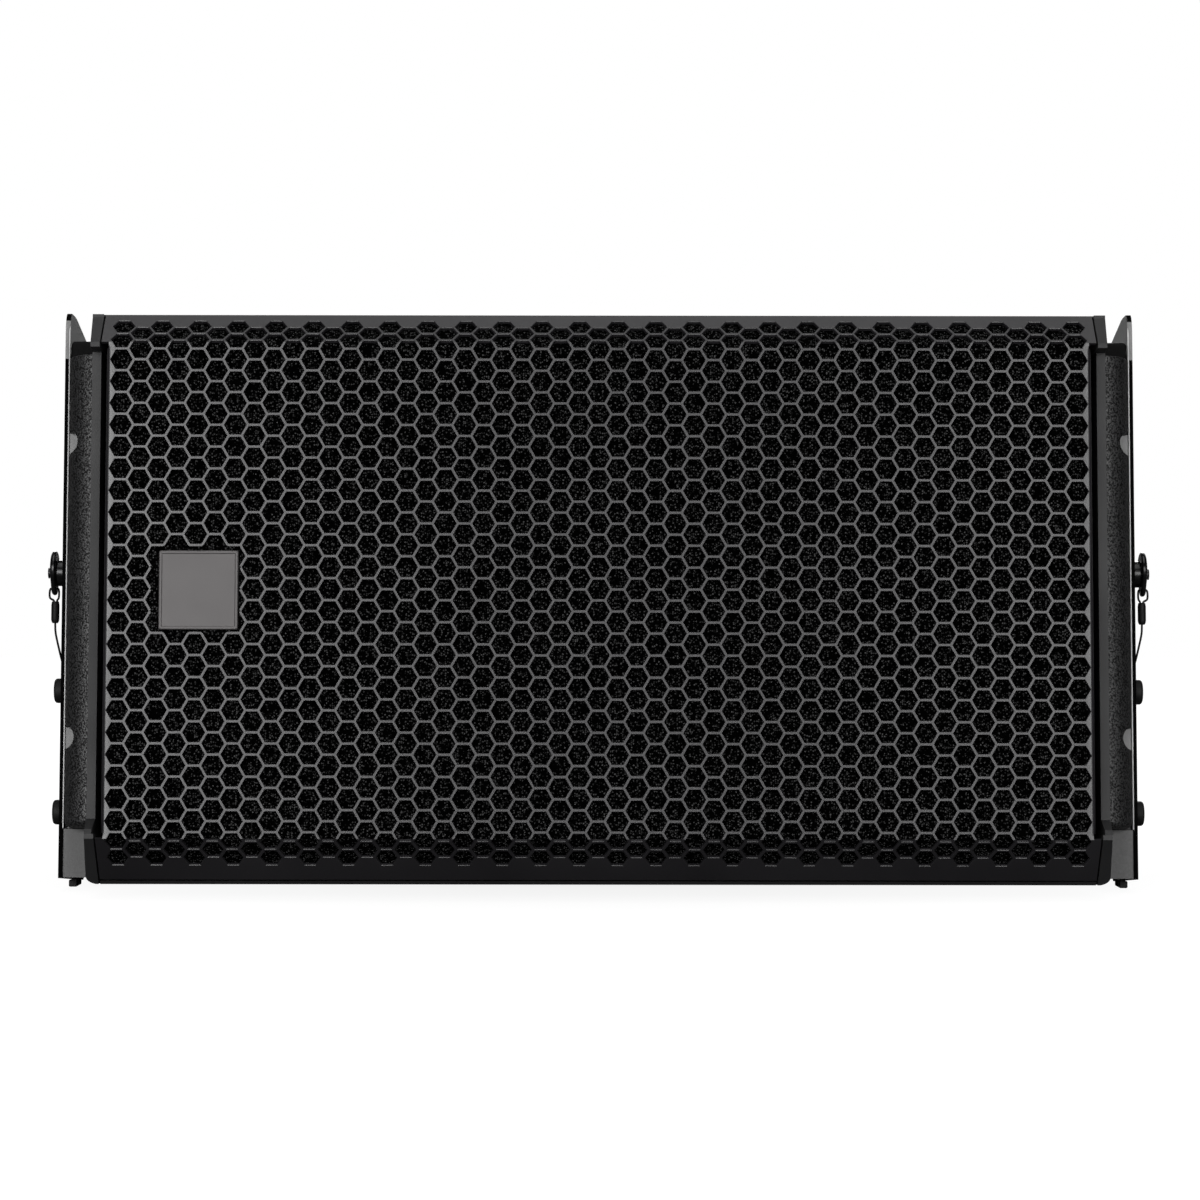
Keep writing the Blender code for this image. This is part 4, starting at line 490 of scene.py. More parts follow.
def foam_layer(depth):
    """The folded profile at a depth below the grille's face, short of the ends of the bands."""
    slip = depth * math.tan(BAND / 2)
    points = []
    for fold, sign, length in ((FOLD_BOTTOM, -1, BOTTOM_BAND), (FOLD_TOP, 1, TOP_BAND)):
        reach = length - FOAM_SHORT + slip
        bend = (depth, fold - sign * slip)
        end = (depth + reach * math.sin(BAND), bend[1] + sign * reach * math.cos(BAND))
        points += [end, bend] if sign < 0 else [bend, end]
    return points


foam = prism("acoustic_foam", foam_layer(SHEET + GAP) + foam_layer(SHEET + GAP + FOAM)[::-1], "x",
             -GRILLE_HALF + SHEET + GAP, GRILLE_HALF - SHEET - GAP)
soften(foam, 0.6 * MM, 3, 40)
show(foam, foam_skin, nodes=["grille_foam"])


# Grille: one steel sheet punched with hexagons on a 9 mm pitch, folded back at 45 degrees along its top and
# bottom and square along its sides. Around the badge the webs are cut out cell by cell.

# Charcoal powder coat: a fine orange peel that turns the flat face pale where it mirrors the front light
powder_coat = coat("charcoal_powder_coat", "#171618", "#1f1e20", 60, (0.3, 0.36), 0.6, 0.02)

PITCH = 9 * MM
COLUMNS, COLUMN_PITCH = 51, 7.83 * MM
# Number of holes in a column and the height of its lowest hole over the lower fold; the two kinds alternate
LONG_COLUMN, SHORT_COLUMN = (26, -10.8 * MM), (25, -6.3 * MM)
ACROSS = 7.8 * MM
CHAMFER, BAND_CHAMFER = 0.16 * MM, 0.22 * MM
FLANGE = 12 * MM
BEND, BEND_START = 2 * MM, GRILLE_HALF - 1.2 * MM
BADGE_X, BADGE_Z, BADGE_HALF = -163.2 * MM, 2 * MM, 16.2 * MM
flat = FOLD_TOP - FOLD_BOTTOM
centres = []
for column in range(COLUMNS):
    count, first = SHORT_COLUMN if column % 2 else LONG_COLUMN
    centres += [((column - COLUMNS // 2) * COLUMN_PITCH, first + PITCH * row) for row in range(count)]
centres = np.array(centres)
chamfers = np.where((centres[:, 1] < 0) | (centres[:, 1] > flat), BAND_CHAMFER, CHAMFER)
badge_cell = ((np.abs(centres[:, 0] - BADGE_X) < BADGE_HALF + 1.2 * MM)
              & (np.abs(centres[:, 1] + FOLD_BOTTOM - BADGE_Z) < BADGE_HALF + ACROSS / 2))


def hexagon(centre, radius):
    return arc(centre, radius, 0, 300, 5)


def hex_reach(points):
    """Distance of points from every hexagon's middle, measured across its flats."""
    away = np.abs(points[:, None, :] - centres[None, :, :])
    slant = away[..., 0] * math.sin(math.pi / 3) + away[..., 1] * 0.5
    return np.maximum(away[..., 1], slant)


def folded(u, v, depth):
    """Place of a point of the flat blank on the folded sheet, at a depth below its face."""
    slip = math.tan(BAND / 2)
    for fold, sign, along in ((FOLD_BOTTOM, -1, -v), (FOLD_TOP, 1, v - flat)):
        if along > -1e-7:
            along = max(along, depth * slip)
            return (u, along * math.sin(BAND) + depth * math.cos(BAND),
                    fold + sign * (along * math.cos(BAND) - depth * math.sin(BAND)))
    turn = max(0, min(math.pi / 2, (abs(u) - BEND_START) / BEND))
    x = min(abs(u), BEND_START) + (BEND - depth) * math.sin(turn)
    y = BEND - (BEND - depth) * math.cos(turn) + max(0, abs(u) - BEND_START - BEND * math.pi / 2)
    return (math.copysign(x, u), y, FOLD_BOTTOM + max(depth * slip, min(flat - depth * slip, v)))


def make_grille():
    """Lay out the punched blank in triangles, then fold it with a thickness."""
    low, high, outer = -BOTTOM_BAND, flat + TOP_BAND, GRILLE_HALF + FLANGE
    notch = 2.5 * MM
    loops = [mirrored([(BAND_HALF, low), (BAND_HALF, 0), (GRILLE_HALF, 0), (GRILLE_HALF, notch),
                       (outer, notch), (outer, flat - notch), (GRILLE_HALF, flat - notch),
                       (GRILLE_HALF, flat), (BAND_HALF, flat), (BAND_HALF, high)])]
    loops += [hexagon(centre, (ACROSS + 2 * c) / math.sqrt(3)) for centre, c in zip(centres, chamfers)]
    points, edges = [], []
    for loop in loops:
        first = len(points)
        points += [Vector(point) for point in loop]
        edges += [(first + i, first + (i + 1) % len(loop)) for i in range(len(loop))]
    folds = [((-GRILLE_HALF, v), (GRILLE_HALF, v)) for v in (0, flat)]
    folds += [((sign * u, notch), (sign * u, flat - notch)) for side, sign in SIDES
              for u in np.linspace(BEND_START, BEND_START + BEND * math.pi / 2, 7)]
    for ends in folds:
        edges.append((len(points), len(points) + 1))
        points += [Vector(end) for end in ends]
    plan = delaunay_2d_cdt(points, edges, [], 0, 1e-7)
    verts = np.array([tuple(v) for v in plan[0]])
    triangles = np.array(plan[2])

    # Keep the sheet: no holes, nothing outside the outline, no webs between two cells cut for the badge
    middles = verts[triangles].mean(axis=1)
    kept = []
    for begin in range(0, len(triangles), 1000):
        part = middles[begin:begin + 1000]
        reach = hex_reach(part)
        nearest = np.argpartition(reach, 2, axis=1)[:, :2]
        u, v = np.abs(part[:, 0]), part[:, 1]
        band = (v < 0) | (v > flat)
        limit = np.where(band, BAND_HALF, np.where((v > notch) & (v < flat - notch), outer, GRILLE_HALF))
        stays = ((reach - chamfers).min(axis=1) > ACROSS / 2) & (u < limit) & ~badge_cell[nearest].all(axis=1)
        kept += [tuple(t) for t in triangles[begin:begin + 1000][stays]]

    # Front and back skins, and a chamfered wall down every cut edge
    mesh = bmesh.new()
    skins = {}
    for i in sorted({int(i) for t in kept for i in t}):
        skins[i] = [mesh.verts.new(folded(*verts[i], depth)) for depth in (0, SHEET)]
    sides = set()
    for a, b, c in kept:
        mesh.faces.new((skins[a][0], skins[b][0], skins[c][0]))
        mesh.faces.new((skins[a][1], skins[c][1], skins[b][1]))
        sides |= {(a, b), (b, c), (c, a)}
    rims = [(i, j) for i, j in sides if (j, i) not in sides]
    walls = {}
    on_rim = sorted({i for rim in rims for i in rim})
    reach = hex_reach(verts[on_rim])
    for i, row in zip(on_rim, reach):
        spot = verts[i]
        cell = int((row - chamfers).argmin())
        chamfer = chamfers[cell]
        if abs(row[cell] - chamfer - ACROSS / 2) < 0.02 * MM:
            spot = centres[cell] + (spot - centres[cell]) * (ACROSS / (ACROSS + 2 * chamfer))
        walls[i] = [skins[i][0]] + [mesh.verts.new(folded(*spot, d)) for d in (chamfer, SHEET - chamfer)]
        walls[i].append(skins[i][1])
    for i, j in rims:
        for k in range(3):
            mesh.faces.new((walls[j][k], walls[i][k], walls[i][k + 1], walls[j][k + 1]))
    return solid("perforated_grille", mesh)


show(make_grille(), powder_coat, nodes=["grille"], smooth=20)


# Badge: a plain square plate of satin alloy, pressed with a raised rim and brushed along its width. It is
# stuck to the foam in the cut-out of the grille.

# Satin alloy: finely brushed along X, an even mid grey
satin_alloy = coat("satin_alloy", "#464444", "#4b4949", 8, (0.46, 0.52), 0.5, 0.004, 0.5, stretch=(40, 1, 1))

BADGE_BACK = SHEET
rings = []
for inset, y in ((0, BADGE_BACK), (0, BADGE_BACK - 0.9 * MM), (0.35 * MM, BADGE_BACK - 1.2 * MM),
                 (1.1 * MM, BADGE_BACK - 1.2 * MM), (1.4 * MM, BADGE_BACK - 0.95 * MM)):
    half = BADGE_HALF - inset
    bend = max(0.9 * MM - inset / 2, 0.2 * MM)
    ring = []
    for sx, sz, first in ((1, 1, 0), (-1, 1, 90), (-1, -1, 180), (1, -1, 270)):
        ring += arc((BADGE_X + sx * (half - bend), BADGE_Z + sz * (half - bend)), bend, first, first + 90, 5)
    rings.append([(x, y, z) for x, z in ring])
show(loft("blank_badge", rings), satin_alloy, nodes=["badge"])


# Side plates: flat black steel with an ear above the cabinet and holes for the pins, bolted to the flanks.
# A tab is folded inwards in front of the pocket that takes the link of the cabinet below.

# Black powder coat: thicker and rougher than the grille's
black_coat = coat("black_powder_coat", "#0f0f10", "#171718", 5, (0.4, 0.52), 0.5, 0.03)
# Painted light on the inner faces: a dull grey, lighter than the outer coat, for the light they catch at a
# grazing angle, so the ear looks dull grey
inner_painted_light = coat("inner_face_painted_light_grey", "#343434", "#3e3e3e", 1.2, (0.7, 0.82), 0.5, 0.04, 0.0, 0.12)
# Painted light on the tab in front of the pocket under the shoulder: a lighter grey, standing in for the
# light that reaches it there
tab_painted_light = coat("tab_painted_light_grey", "#565656", "#646464", 1.2, (0.62, 0.74), 0.5, 0.04)
# Painted highlight: the front of the ear and the stops in the notches are coloured light grey for the light
# they catch
edge_and_stop_painted_light = coat("edge_and_stop_painted_light_grey", "#6c6c6c", "#7e7e7e", 2.5, (0.5, 0.64), 0.5, 0.02, 0.35)
# Painted highlight: the chamfer along the inner front edge is coloured near white, so it shows as a line of
# bright steel
chamfer_painted_highlight = coat("chamfer_painted_highlight_steel", "#c2c2c2", "#d2d2d2", 2.5, (0.5, 0.64), 0.5, 0.02, 0.2)
# Painted shade on the cut edges: matt black without shine, so the front edge below the ear reads as a plain
# dark line
edge_painted_shade = coat("edge_painted_shade_black", "#020202", "#060606", 3, (0.85, 0.95), 0.5, 0.03, 0.0, 0.03)
# Black oxide: thin and slightly oily over turned steel, with small bright highlights
black_oxide = coat("black_oxide_steel", "#070708", "#0e0e0f", 4, (0.22, 0.34), 0.4, 0.012, 0.3)
# Black phosphate: matt and dry, so that the bolt heads read as plain black discs
phosphate = coat("black_phosphate_steel", "#040404", "#090909", 4, (0.6, 0.72), 0.4, 0.012, 0.0, 0.3)
# Zinc plate: cool grey with a faint spangle
zinc_plate = coat("zinc_plate", "#828286", "#9a9a9d", 3, (0.3, 0.44), 0.6, 0.01, 0.9)

PLATE_FRONT, PLATE_REAR, PLATE_BOTTOM = 56.5 * MM, 171.5 * MM, -114.6 * MM
EAR_LENGTH, EAR_RISE = 71 * MM, 8.8 * MM
TIP = HALF_HEIGHT + EAR_RISE - GAP
LOWER_PIN_Z = -105.1 * MM
LINK_THICKNESS, LINK_TRAVEL = 4.4 * MM, 28 * MM
ANCHOR, ANCHOR_HOLE = (113 * MM, -14.1 * MM), 2.4 * MM
BOLT_SOCKET = 2.3 * MM


def make_plate(side, sign):
    ear_end = PLATE_FRONT + EAR_LENGTH
    ear_drop = 62 * MM * math.tan(math.radians(8))
    outline = [(PLATE_FRONT, PLATE_BOTTOM), (ear_end - 9 * MM, PLATE_BOTTOM),
               (PLATE_REAR, PLATE_BOTTOM + 27 * MM), (PLATE_REAR, TIP - ear_drop - 16 * MM),
               (ear_end, TIP - ear_drop),
               (PLATE_FRONT + 19 * MM, TIP - 0.25 * MM), (PLATE_FRONT + 14 * MM, TIP)]
    outline += [(PLATE_FRONT + 5.4 * MM * (1 + y), TIP - 0.2 * MM - EAR_RISE * (1 - z))
                for y, z in arc((0, 0), 1, 90, 180, 10)]
    outline.append((PLATE_FRONT, SHOULDER_TOP))
    plate = prism("rigging_plate_" + side, outline, "x", sign * PLATE_INSIDE, sign * PLATE_OUTSIDE)
    past = (sign * (PLATE_INSIDE - WALL), sign * (PLATE_OUTSIDE + WALL))
    tools = [drum("bolt_hole", BOLT_HOLE, "x", spot, *past, 20) for spot in BOLTS.values()]
    tools += [drum("pin_hole", PIN_HOLE, "x", (PIN_Y, z), *past, 28) for z in (PIN_Z, LOWER_PIN_Z)]
    tools.append(drum("anchor_hole", ANCHOR_HOLE, "x", ANCHOR, *past, 20))
    # The inner front edge is dressed with a chamfer, coloured with a painted highlight so that it shows as a
    # light stripe
    chamfer = [(sign * (PLATE_INSIDE + a * MM), PLATE_FRONT + b * MM)
               for a, b in ((-0.8, 0.81), (2.0, -1), (-0.8, -1))]
    tools.append(prism("chamfer", chamfer, "z", SHOULDER_FOOT, 2 * TIP))
    soften(cut(plate, *tools), 0.2 * MM, 2, 50)
    root = PLATE_INSIDE + MM
    tabs = [block("tab", (sign * (FRAME_HALF + 2 * GAP), sign * root),
                  (PLATE_FRONT + GAP, PLATE_FRONT + 2 * MM), (PLATE_BOTTOM + GAP, SHOULDER_FOOT - GAP))]
    for height in NOTCHES:
        # Half-round stop inside each notch
        stop = arc((sign * FLANK, height), NOTCH_RADIUS - GAP, 90, 90 + sign * 180, 16)
        stop += [(sign * root, height - NOTCH_RADIUS + GAP), (sign * root, height + NOTCH_RADIUS - GAP)]
        tabs.append(prism("stop", stop, "y", PLATE_FRONT + 1.2 * MM, PLATE_FRONT + 3 * MM))
    join(plate, *tabs)
    coated, inner_lit, shaded_edge, lit_edge_and_stops, highlit_chamfer, wear_and_painted_light = range(6)

    # Faces get painted light and shade: a painted highlight on the ear's front, the stops and the inner
    # chamfer, painted light on the inner faces and the tab, and painted shade on the cut edges
    def side_of(face):
        outward = face.normal.x * sign
        if face.normal.y < -0.3 and SHOULDER_FOOT < face.center.z < TIP - 4 * MM:
            if face.center.z > SHOULDER_TOP:
                return lit_edge_and_stops
            if outward < -0.3:
                return highlit_chamfer
        if abs(face.center.x) < PLATE_INSIDE - GAP:
            return wear_and_painted_light if face.center.z < SHOULDER_FOOT else lit_edge_and_stops
        if outward < -0.3:
            return inner_lit
        return shaded_edge if abs(face.normal.x) < 0.6 else coated

    show(plate, (black_coat, inner_painted_light, edge_painted_shade, edge_and_stop_painted_light, chamfer_painted_highlight, tab_painted_light),
         nodes=["side_plate_" + side], pick=side_of)


def make_bolt(name, side, sign):
    """A flat-faced socket-head bolt whose head sits on the plate."""
    seat = PLATE_OUTSIDE + GAP
    head, radius, shank, edge = 3.6 * MM, 5.25 * MM, 3 * MM, 1.3 * MM
    outline = [(0, PLATE_OUTSIDE - BOLT_REACH), (shank, PLATE_OUTSIDE - BOLT_REACH), (shank, seat),
               (radius - 0.2 * MM, seat), (radius, seat + 0.2 * MM)]
    outline += arc((radius - edge, seat + head - edge), edge, 0, 90, 5) + [(0, seat + head)]
    bolt = turned(f"plate_bolt_{name}_{side}", [(r, sign * x) for r, x in outline], "x", BOLTS[name])
    socket = hexagon(BOLTS[name], BOLT_SOCKET)
    cut(bolt, prism("socket", socket, "x", sign * (seat + head - 2 * MM), sign * (seat + head + WALL)))
    show(bolt, phosphate, nodes=[f"bolt_{name}_{side}"])


def make_link(side, sign):
    """The flat bar that rises out of its channel into the cabinet above."""
    head = 0.6 * LINK_HALF
    outline = [(PIN_Y - LINK_HALF, LINK_BOTTOM), (PIN_Y + LINK_HALF, LINK_BOTTOM),
               (PIN_Y + LINK_HALF, LINK_TOP - head), (PIN_Y + LINK_HALF - head, LINK_TOP),
               (PIN_Y - LINK_HALF + head, LINK_TOP), (PIN_Y - LINK_HALF, LINK_TOP - head)]
    inner = CHANNEL_FLOOR + GAP
    outer = inner + LINK_THICKNESS
    bar = prism("link_bar_" + side, outline, "x", sign * inner, sign * outer)
    past = (sign * (inner - WALL), sign * (outer + WALL))
    slot = arc((PIN_Y, PIN_Z), PIN_HOLE, 0, 180, 14)
    slot += arc((PIN_Y, PIN_Z - LINK_TRAVEL), PIN_HOLE, 180, 360, 14)
    cut(bar, prism("slot", slot, "x", *past),
        drum("hole", PIN_HOLE, "x", (PIN_Y, LINK_TOP - LINK_HALF), *past, 28))
    show(soften(bar, 0.35 * MM, 2, 50), zinc_plate, "front_link_" + side,
         ["front_link_" + side])


for side, sign in SIDES:
    make_plate(side, sign)
    make_link(side, sign)
    for bolt_name in BOLTS:
        make_bolt(bolt_name, side, sign)


# Quick-lock pins: black steel shank, round hub and a pressed teardrop handle with an eye for the lanyard.
# The push-button in the middle of the handle frees the pin.

PIN_HUB, PIN_HANDLE = 3.7 * MM, 2.4 * MM
HANDLE_RISE = 9.5 * MM
HEAD_RADIUS, TAIL_RADIUS = 8 * MM, 3.6 * MM
EYE_DROP, EYE_RADIUS = HANDLE_RISE - TAIL_RADIUS, 1.4 * MM


def steps_from(base, *steps):
    """Part of a turned profile: each step's radius and its distance past a base, given in millimetres."""
    return [(radius * MM, base + along * MM) for radius, along in steps]


def make_pin(name, sign, seat, length, y, z, node):
    hub_face = seat + GAP
    hub_end = hub_face + PIN_HUB
    face = hub_end + PIN_HANDLE
    tip = seat - length
    outline = steps_from(tip, (0, 0), (1.9, 0), (2.8, 0.7), (3.15, 1.8))
    outline += steps_from(hub_face, (3.15, 0), (5.4, 0), (5.65, 0.25))
    outline += steps_from(hub_end, (5.65, -0.5), (5.3, 0), (5.1, 0.9), (0, 0.9))
    pin = turned(name, [(r, sign * x) for r, x in outline], "x", (y, z), 36)
    head_z, tail_z = z + HANDLE_RISE - HEAD_RADIUS, z - HANDLE_RISE + TAIL_RADIUS
    tilt = math.degrees(math.asin((HEAD_RADIUS - TAIL_RADIUS) / (head_z - tail_z)))
    rings = []
    for share, inset in ((0, 0.9), (0.08, 0.35), (0.22, 0.05), (0.45, 0), (0.62, 0.1), (0.8, 0.45),
                         (0.93, 1.0), (1, 1.9)):
        outline = arc((y, head_z), HEAD_RADIUS - inset * MM, -tilt, 180 + tilt, 28)
        outline += arc((y, tail_z), TAIL_RADIUS - inset * MM, 180 + tilt, 360 - tilt, 16)
        rings.append([(sign * (hub_end + PIN_HANDLE * share), a, b) for a, b in outline])
    join(pin, loft("handle", rings))
    past = sign * (face + 4 * MM)
    cut(pin, drum("eye", EYE_RADIUS, "x", (y, z - EYE_DROP), sign * (hub_end - 4 * MM), past, 20),
        drum("well", 2.65 * MM, "x", (y, z), sign * (face - 3.5 * MM), past, 28))
    show(pin, black_oxide, node, [node])


def make_pin_button(name, sign, seat, y, z, node):
    """A waisted button, so that it catches a bright ring of light."""
    face = seat + GAP + PIN_HUB + PIN_HANDLE + 1.4 * MM
    outline = steps_from(face, (0, -3.4), (2.35, -3.4), (2.35, -1.0), (2.1, -0.8), (2.1, -0.55),
                         (2.35, -0.4), (2.35, -0.2), (2.15, 0), (0, 0))
    button = turned(name, [(r, sign * x) for r, x in outline], "x", (y, z), 28)
    show(button, black_oxide, node, [node])


for side, sign in SIDES:
    make_pin("quick_pin_" + side, sign, PLATE_OUTSIDE, 22 * MM, PIN_Y, PIN_Z, "lock_pin_" + side)
    make_pin_button("quick_button_" + side, sign, PLATE_OUTSIDE, PIN_Y, PIN_Z, "pin_button_" + side)


# Lanyards: a loop of steel wire through each pin's eye, crimped in a black ferrule, and a sleeved wire that
# hangs in a bow from the ferrule back to a screw on the plate, so that a pulled pin isn't lost.

# Plastic sleeve: black, smooth and dull over the twisted wire
wire_sleeve = coat("wire_sleeve", "#050505", "#0a0a0a", 3, (0.5, 0.64), 0.4, 0.03, 0.0, 0.2)

WIRE = 0.45 * MM
FERRULE_TOP, FERRULE_BOTTOM = 3.2 * MM, -6 * MM
# Course of the wire in millimetres: out from the plate, back from the grille's face, and height
ROUTE = ((4.7, 70.0, -5.8), (4.5, 70.2, -10.0), (3.6, 71.5, -15.0), (2.6, 75.5, -21.0), (2.0, 83.0, -26.2),
         (1.9, 92.0, -28.8), (2.1, 102.5, -27.6), (2.4, 109.8, -23.0), (2.5, 112.7, -18.4))


def smooth_route(points, count):
    """Evenly stepped points on a smooth curve through a route's own points."""
    points = [Vector(point) for point in points]
    padded = [2 * points[0] - points[1]] + points + [2 * points[-1] - points[-2]]
    spans = len(points) - 1
    route = []
    for i in range(count):
        at = spans * i / (count - 1)
        k = min(int(at), spans - 1)
        t = at - k
        a, b, c, d = padded[k:k + 4]
        route.append(0.5 * (2 * b + (c - a) * t + (2 * a - 5 * b + 4 * c - d) * t ** 2
                            + (3 * b - a - 3 * c + d) * t ** 3))
    return route


def tube(name, points, radius, sides=10):
    """A closed tube along points."""
    points = [Vector(point) for point in points]
    across = Vector((0, 1, 0))
    rings = []
    for i, point in enumerate(points):
        along = (points[min(i + 1, len(points) - 1)] - points[max(i - 1, 0)]).normalized()
        across = (across - along * across.dot(along)).normalized()
        other = along.cross(across)
        turns = [math.tau * k / sides for k in range(sides)]
        rings.append([point + radius * (across * math.cos(t) + other * math.sin(t)) for t in turns])
    return loft(name, rings)


def make_lanyard(side, sign):
    x = PLATE_OUTSIDE + ROUTE[0][0] * MM
    outline = steps_from(FERRULE_BOTTOM, (0, 0), (1.2, 0), (1.6, 0.8), (1.75, 1.6))
    outline += steps_from(FERRULE_TOP, (1.75, -1.6), (1.6, -0.5), (1.45, 0), (0, 0))
    ferrule = turned("crimp_ferrule_" + side, outline, "z", (sign * x, PIN_Y), 24)
    loop_x = PLATE_OUTSIDE + GAP + PIN_HUB + PIN_HANDLE / 2
    reach = PIN_HANDLE / 2 + WIRE + GAP - 0.05 * MM
    crown = PIN_Z - EYE_DROP - EYE_RADIUS + WIRE + GAP
    legs = []
    for leg in (-1, 1):
        near, far = x + leg * 0.7 * MM, loop_x + leg * reach
        legs.append([(near, FERRULE_TOP - MM), (near, FERRULE_TOP + 0.4 * MM),
                     (far, FERRULE_TOP + 0.9 * reach), (far, crown - 0.8 * MM),
                     (far - leg * 0.9 * MM, crown)])
    route = [(sign * a, PIN_Y, b) for a, b in legs[0] + legs[1][::-1]]
    merge(ferrule, tube("loop", smooth_route(route, 40), WIRE, 8))
    show(ferrule, wire_sleeve, "lock_pin_" + side, ["lanyard_ferrule_" + side])

    # Anchor: a flat-headed screw whose collar grips the end of the wire
    seat = PLATE_OUTSIDE + GAP
    outline = steps_from(PLATE_OUTSIDE, (0, -2), (2, -2))
    outline += steps_from(seat, (2, 0), (3.7, 0), (4, 0.3), (4, 3.5), (3.6, 4), (0, 4))
    anchor = turned("lanyard_screw_" + side, [(r, sign * a) for r, a in outline], "x", ANCHOR)
    cut(anchor, block("slot", (sign * (seat + 3 * MM), sign * (seat + 6 * MM)),
                      (ANCHOR[0] - 5 * MM, ANCHOR[0] + 5 * MM), (ANCHOR[1] - 0.5 * MM, ANCHOR[1] + 0.5 * MM)))
    show(anchor, black_oxide, nodes=["lanyard_anchor_" + side])

    route = [STANDING @ Vector((sign * (PLATE_OUTSIDE + a * MM), y * MM, z * MM)) for a, y, z in ROUTE]
    path = smooth_route(route, 40)
    wire = tube("lanyard_wire_" + side, path, WIRE)
    wire.data.materials.append(wire_sleeve)
    wire.data.shade_smooth()
    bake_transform(wire)
    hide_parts("lanyard_" + side)


for side, sign in SIDES:
    make_lanyard(side, sign)


# Feet: moulded black rubber. Shoes are pushed onto the lower edge of the side plates, and round pads are
# glued under the rear; their soles follow the floor that the cabinet leans on.

FOOT_Y, FOOT_HALF = 88 * MM, 7 * MM
FLOOR_Z = PLATE_BOTTOM - GAP - 2.5 * MM
PAD_X, PAD_Y = 140 * MM, 310 * MM


def floor_level(y):
    return FLOOR_Z + (y - FOOT_Y) * math.tan(WEDGE)


for side, sign in SIDES:
    inside = sign * (PLATE_INSIDE - 2.6 * MM)
    ends = (FOOT_Y - FOOT_HALF, FOOT_Y + FOOT_HALF)
    sole_top = PLATE_BOTTOM - GAP
    shoe = block("shoe_" + side, (inside, sign * (PLATE_OUTSIDE - MM)), ends, (floor_level, sole_top))
    join(shoe, block("lip", (inside, sign * (PLATE_INSIDE - GAP)), ends,
                     (sole_top - MM, PLATE_BOTTOM + 1.5 * MM)))
    show(soften(shoe, 0.6 * MM, 3, 40), rubber, nodes=["front_foot_" + side])
    rings = []
    for radius, share in ((8.6, 0), (9, 0.1), (9, 0.85), (8.2, 1)):
        points = arc((sign * PAD_X, PAD_Y), radius * MM, 0, 352.5, 47)
        rings.append([(a, b, floor_level(b) * (1 - share) + bottom(b, -GAP) * share) for a, b in points])
    show(loft("rear_pad_" + side, rings), rubber, nodes=["rear_foot_" + side])


# Amplifier panel: black anodised plate screwed over the rear opening, with a ribbed heat sink on its left
# and the sockets and controls on its right.

# Black anodising: dense and even, with the fine lines of the rolled plate
anodised = coat("black_anodised_aluminium", "#18181a", "#222224", 20, (0.36, 0.5), 0.4, 0.006, 0.6,
                stretch=(1, 1, 30))

# Screen-print ink: a dull off-white film with thin spots
print_ink = coat("screen_print_ink", "#a8a8a4", "#bdbdb8", 0.8, (0.55, 0.7), 0.3, 0.01)

PANEL_BACK = BODY_DEPTH + GAP
PANEL_FACE = PANEL_BACK + 3 * MM
ON_PANEL = PANEL_FACE + GAP
SOCKETS = {"mains_inlet": (56 * MM, 40 * MM), "mains_outlet": (100 * MM, 40 * MM),
           "signal_input": (56 * MM, -3 * MM), "signal_output": (100 * MM, -3 * MM)}
SOCKET_HOLE, KNOB_HOLE, BUTTON_HOLE = 12.2 * MM, 3.4 * MM, 4.4 * MM
KNOB = (56 * MM, -46 * MM)
BUTTONS = ((90 * MM, -46 * MM), (110 * MM, -46 * MM))
PANEL_SCREWS = ((-145, 69), (-145, 0), (-145, -69), (-75, 70), (-75, -70), (75, 69), (75, -69), (145, 69),
                (145, 0), (145, -69))
STROKES, STROKE = 11, ((10, -0.4), (12.4, -0.4), (12.4, 0.4), (10, 0.4))
SINK_LEFT, SINK_RIGHT, SINK_HALF_HEIGHT = -138 * MM, -16 * MM, 66 * MM
FIN_COUNT, FIN = 13, 2.2 * MM

panel = block("rear_panel", (-PANEL_HALF, PANEL_HALF), (PANEL_BACK, PANEL_FACE),
              (-PANEL_HALF_HEIGHT, PANEL_HALF_HEIGHT))
past = (PANEL_BACK - WALL, PANEL_FACE + WALL)
tools = [drum("hole", SOCKET_HOLE, "y", place, *past, 40) for place in SOCKETS.values()]
tools.append(drum("hole", KNOB_HOLE, "y", KNOB, *past, 24))
tools += [drum("hole", BUTTON_HOLE, "y", place, *past, 24) for place in BUTTONS]
soften(cut(panel, *tools), 0.3 * MM, 2, 50)
screws = []
outline = steps_from(PANEL_FACE, (0, -1), (2.6, -1), (2.6, 0.6), (2.2, 1.3), (0, 1.6))
for x, z in PANEL_SCREWS:
    place = (x * MM, z * MM)
    screw = turned("screw", outline, "y", place, 20)
    socket = prism("socket", hexagon(place, 1.2 * MM), "y", PANEL_FACE + 0.5 * MM, PANEL_FACE + 4 * MM)
    screws.append(cut(screw, socket))
merge(panel, *screws)
plain_faces = len(panel.data.polygons)
ticks = []
for i in range(STROKES):
    # A scale of printed strokes around the knob
    angle = math.radians(240 - 30 * i)
    along = Vector((math.cos(angle), math.sin(angle)))
    across = Vector((-math.sin(angle), math.cos(angle)))
    corners = [Vector(KNOB) + along * a * MM + across * b * MM for a, b in STROKE]
    ticks.append(prism("tick", corners, "y", PANEL_FACE - 0.1 * MM, PANEL_FACE + 0.12 * MM))
merge(panel, *ticks)
show(panel, (anodised, print_ink), nodes=["amplifier_panel"],
     pick=lambda face: int(face.index >= plain_faces))

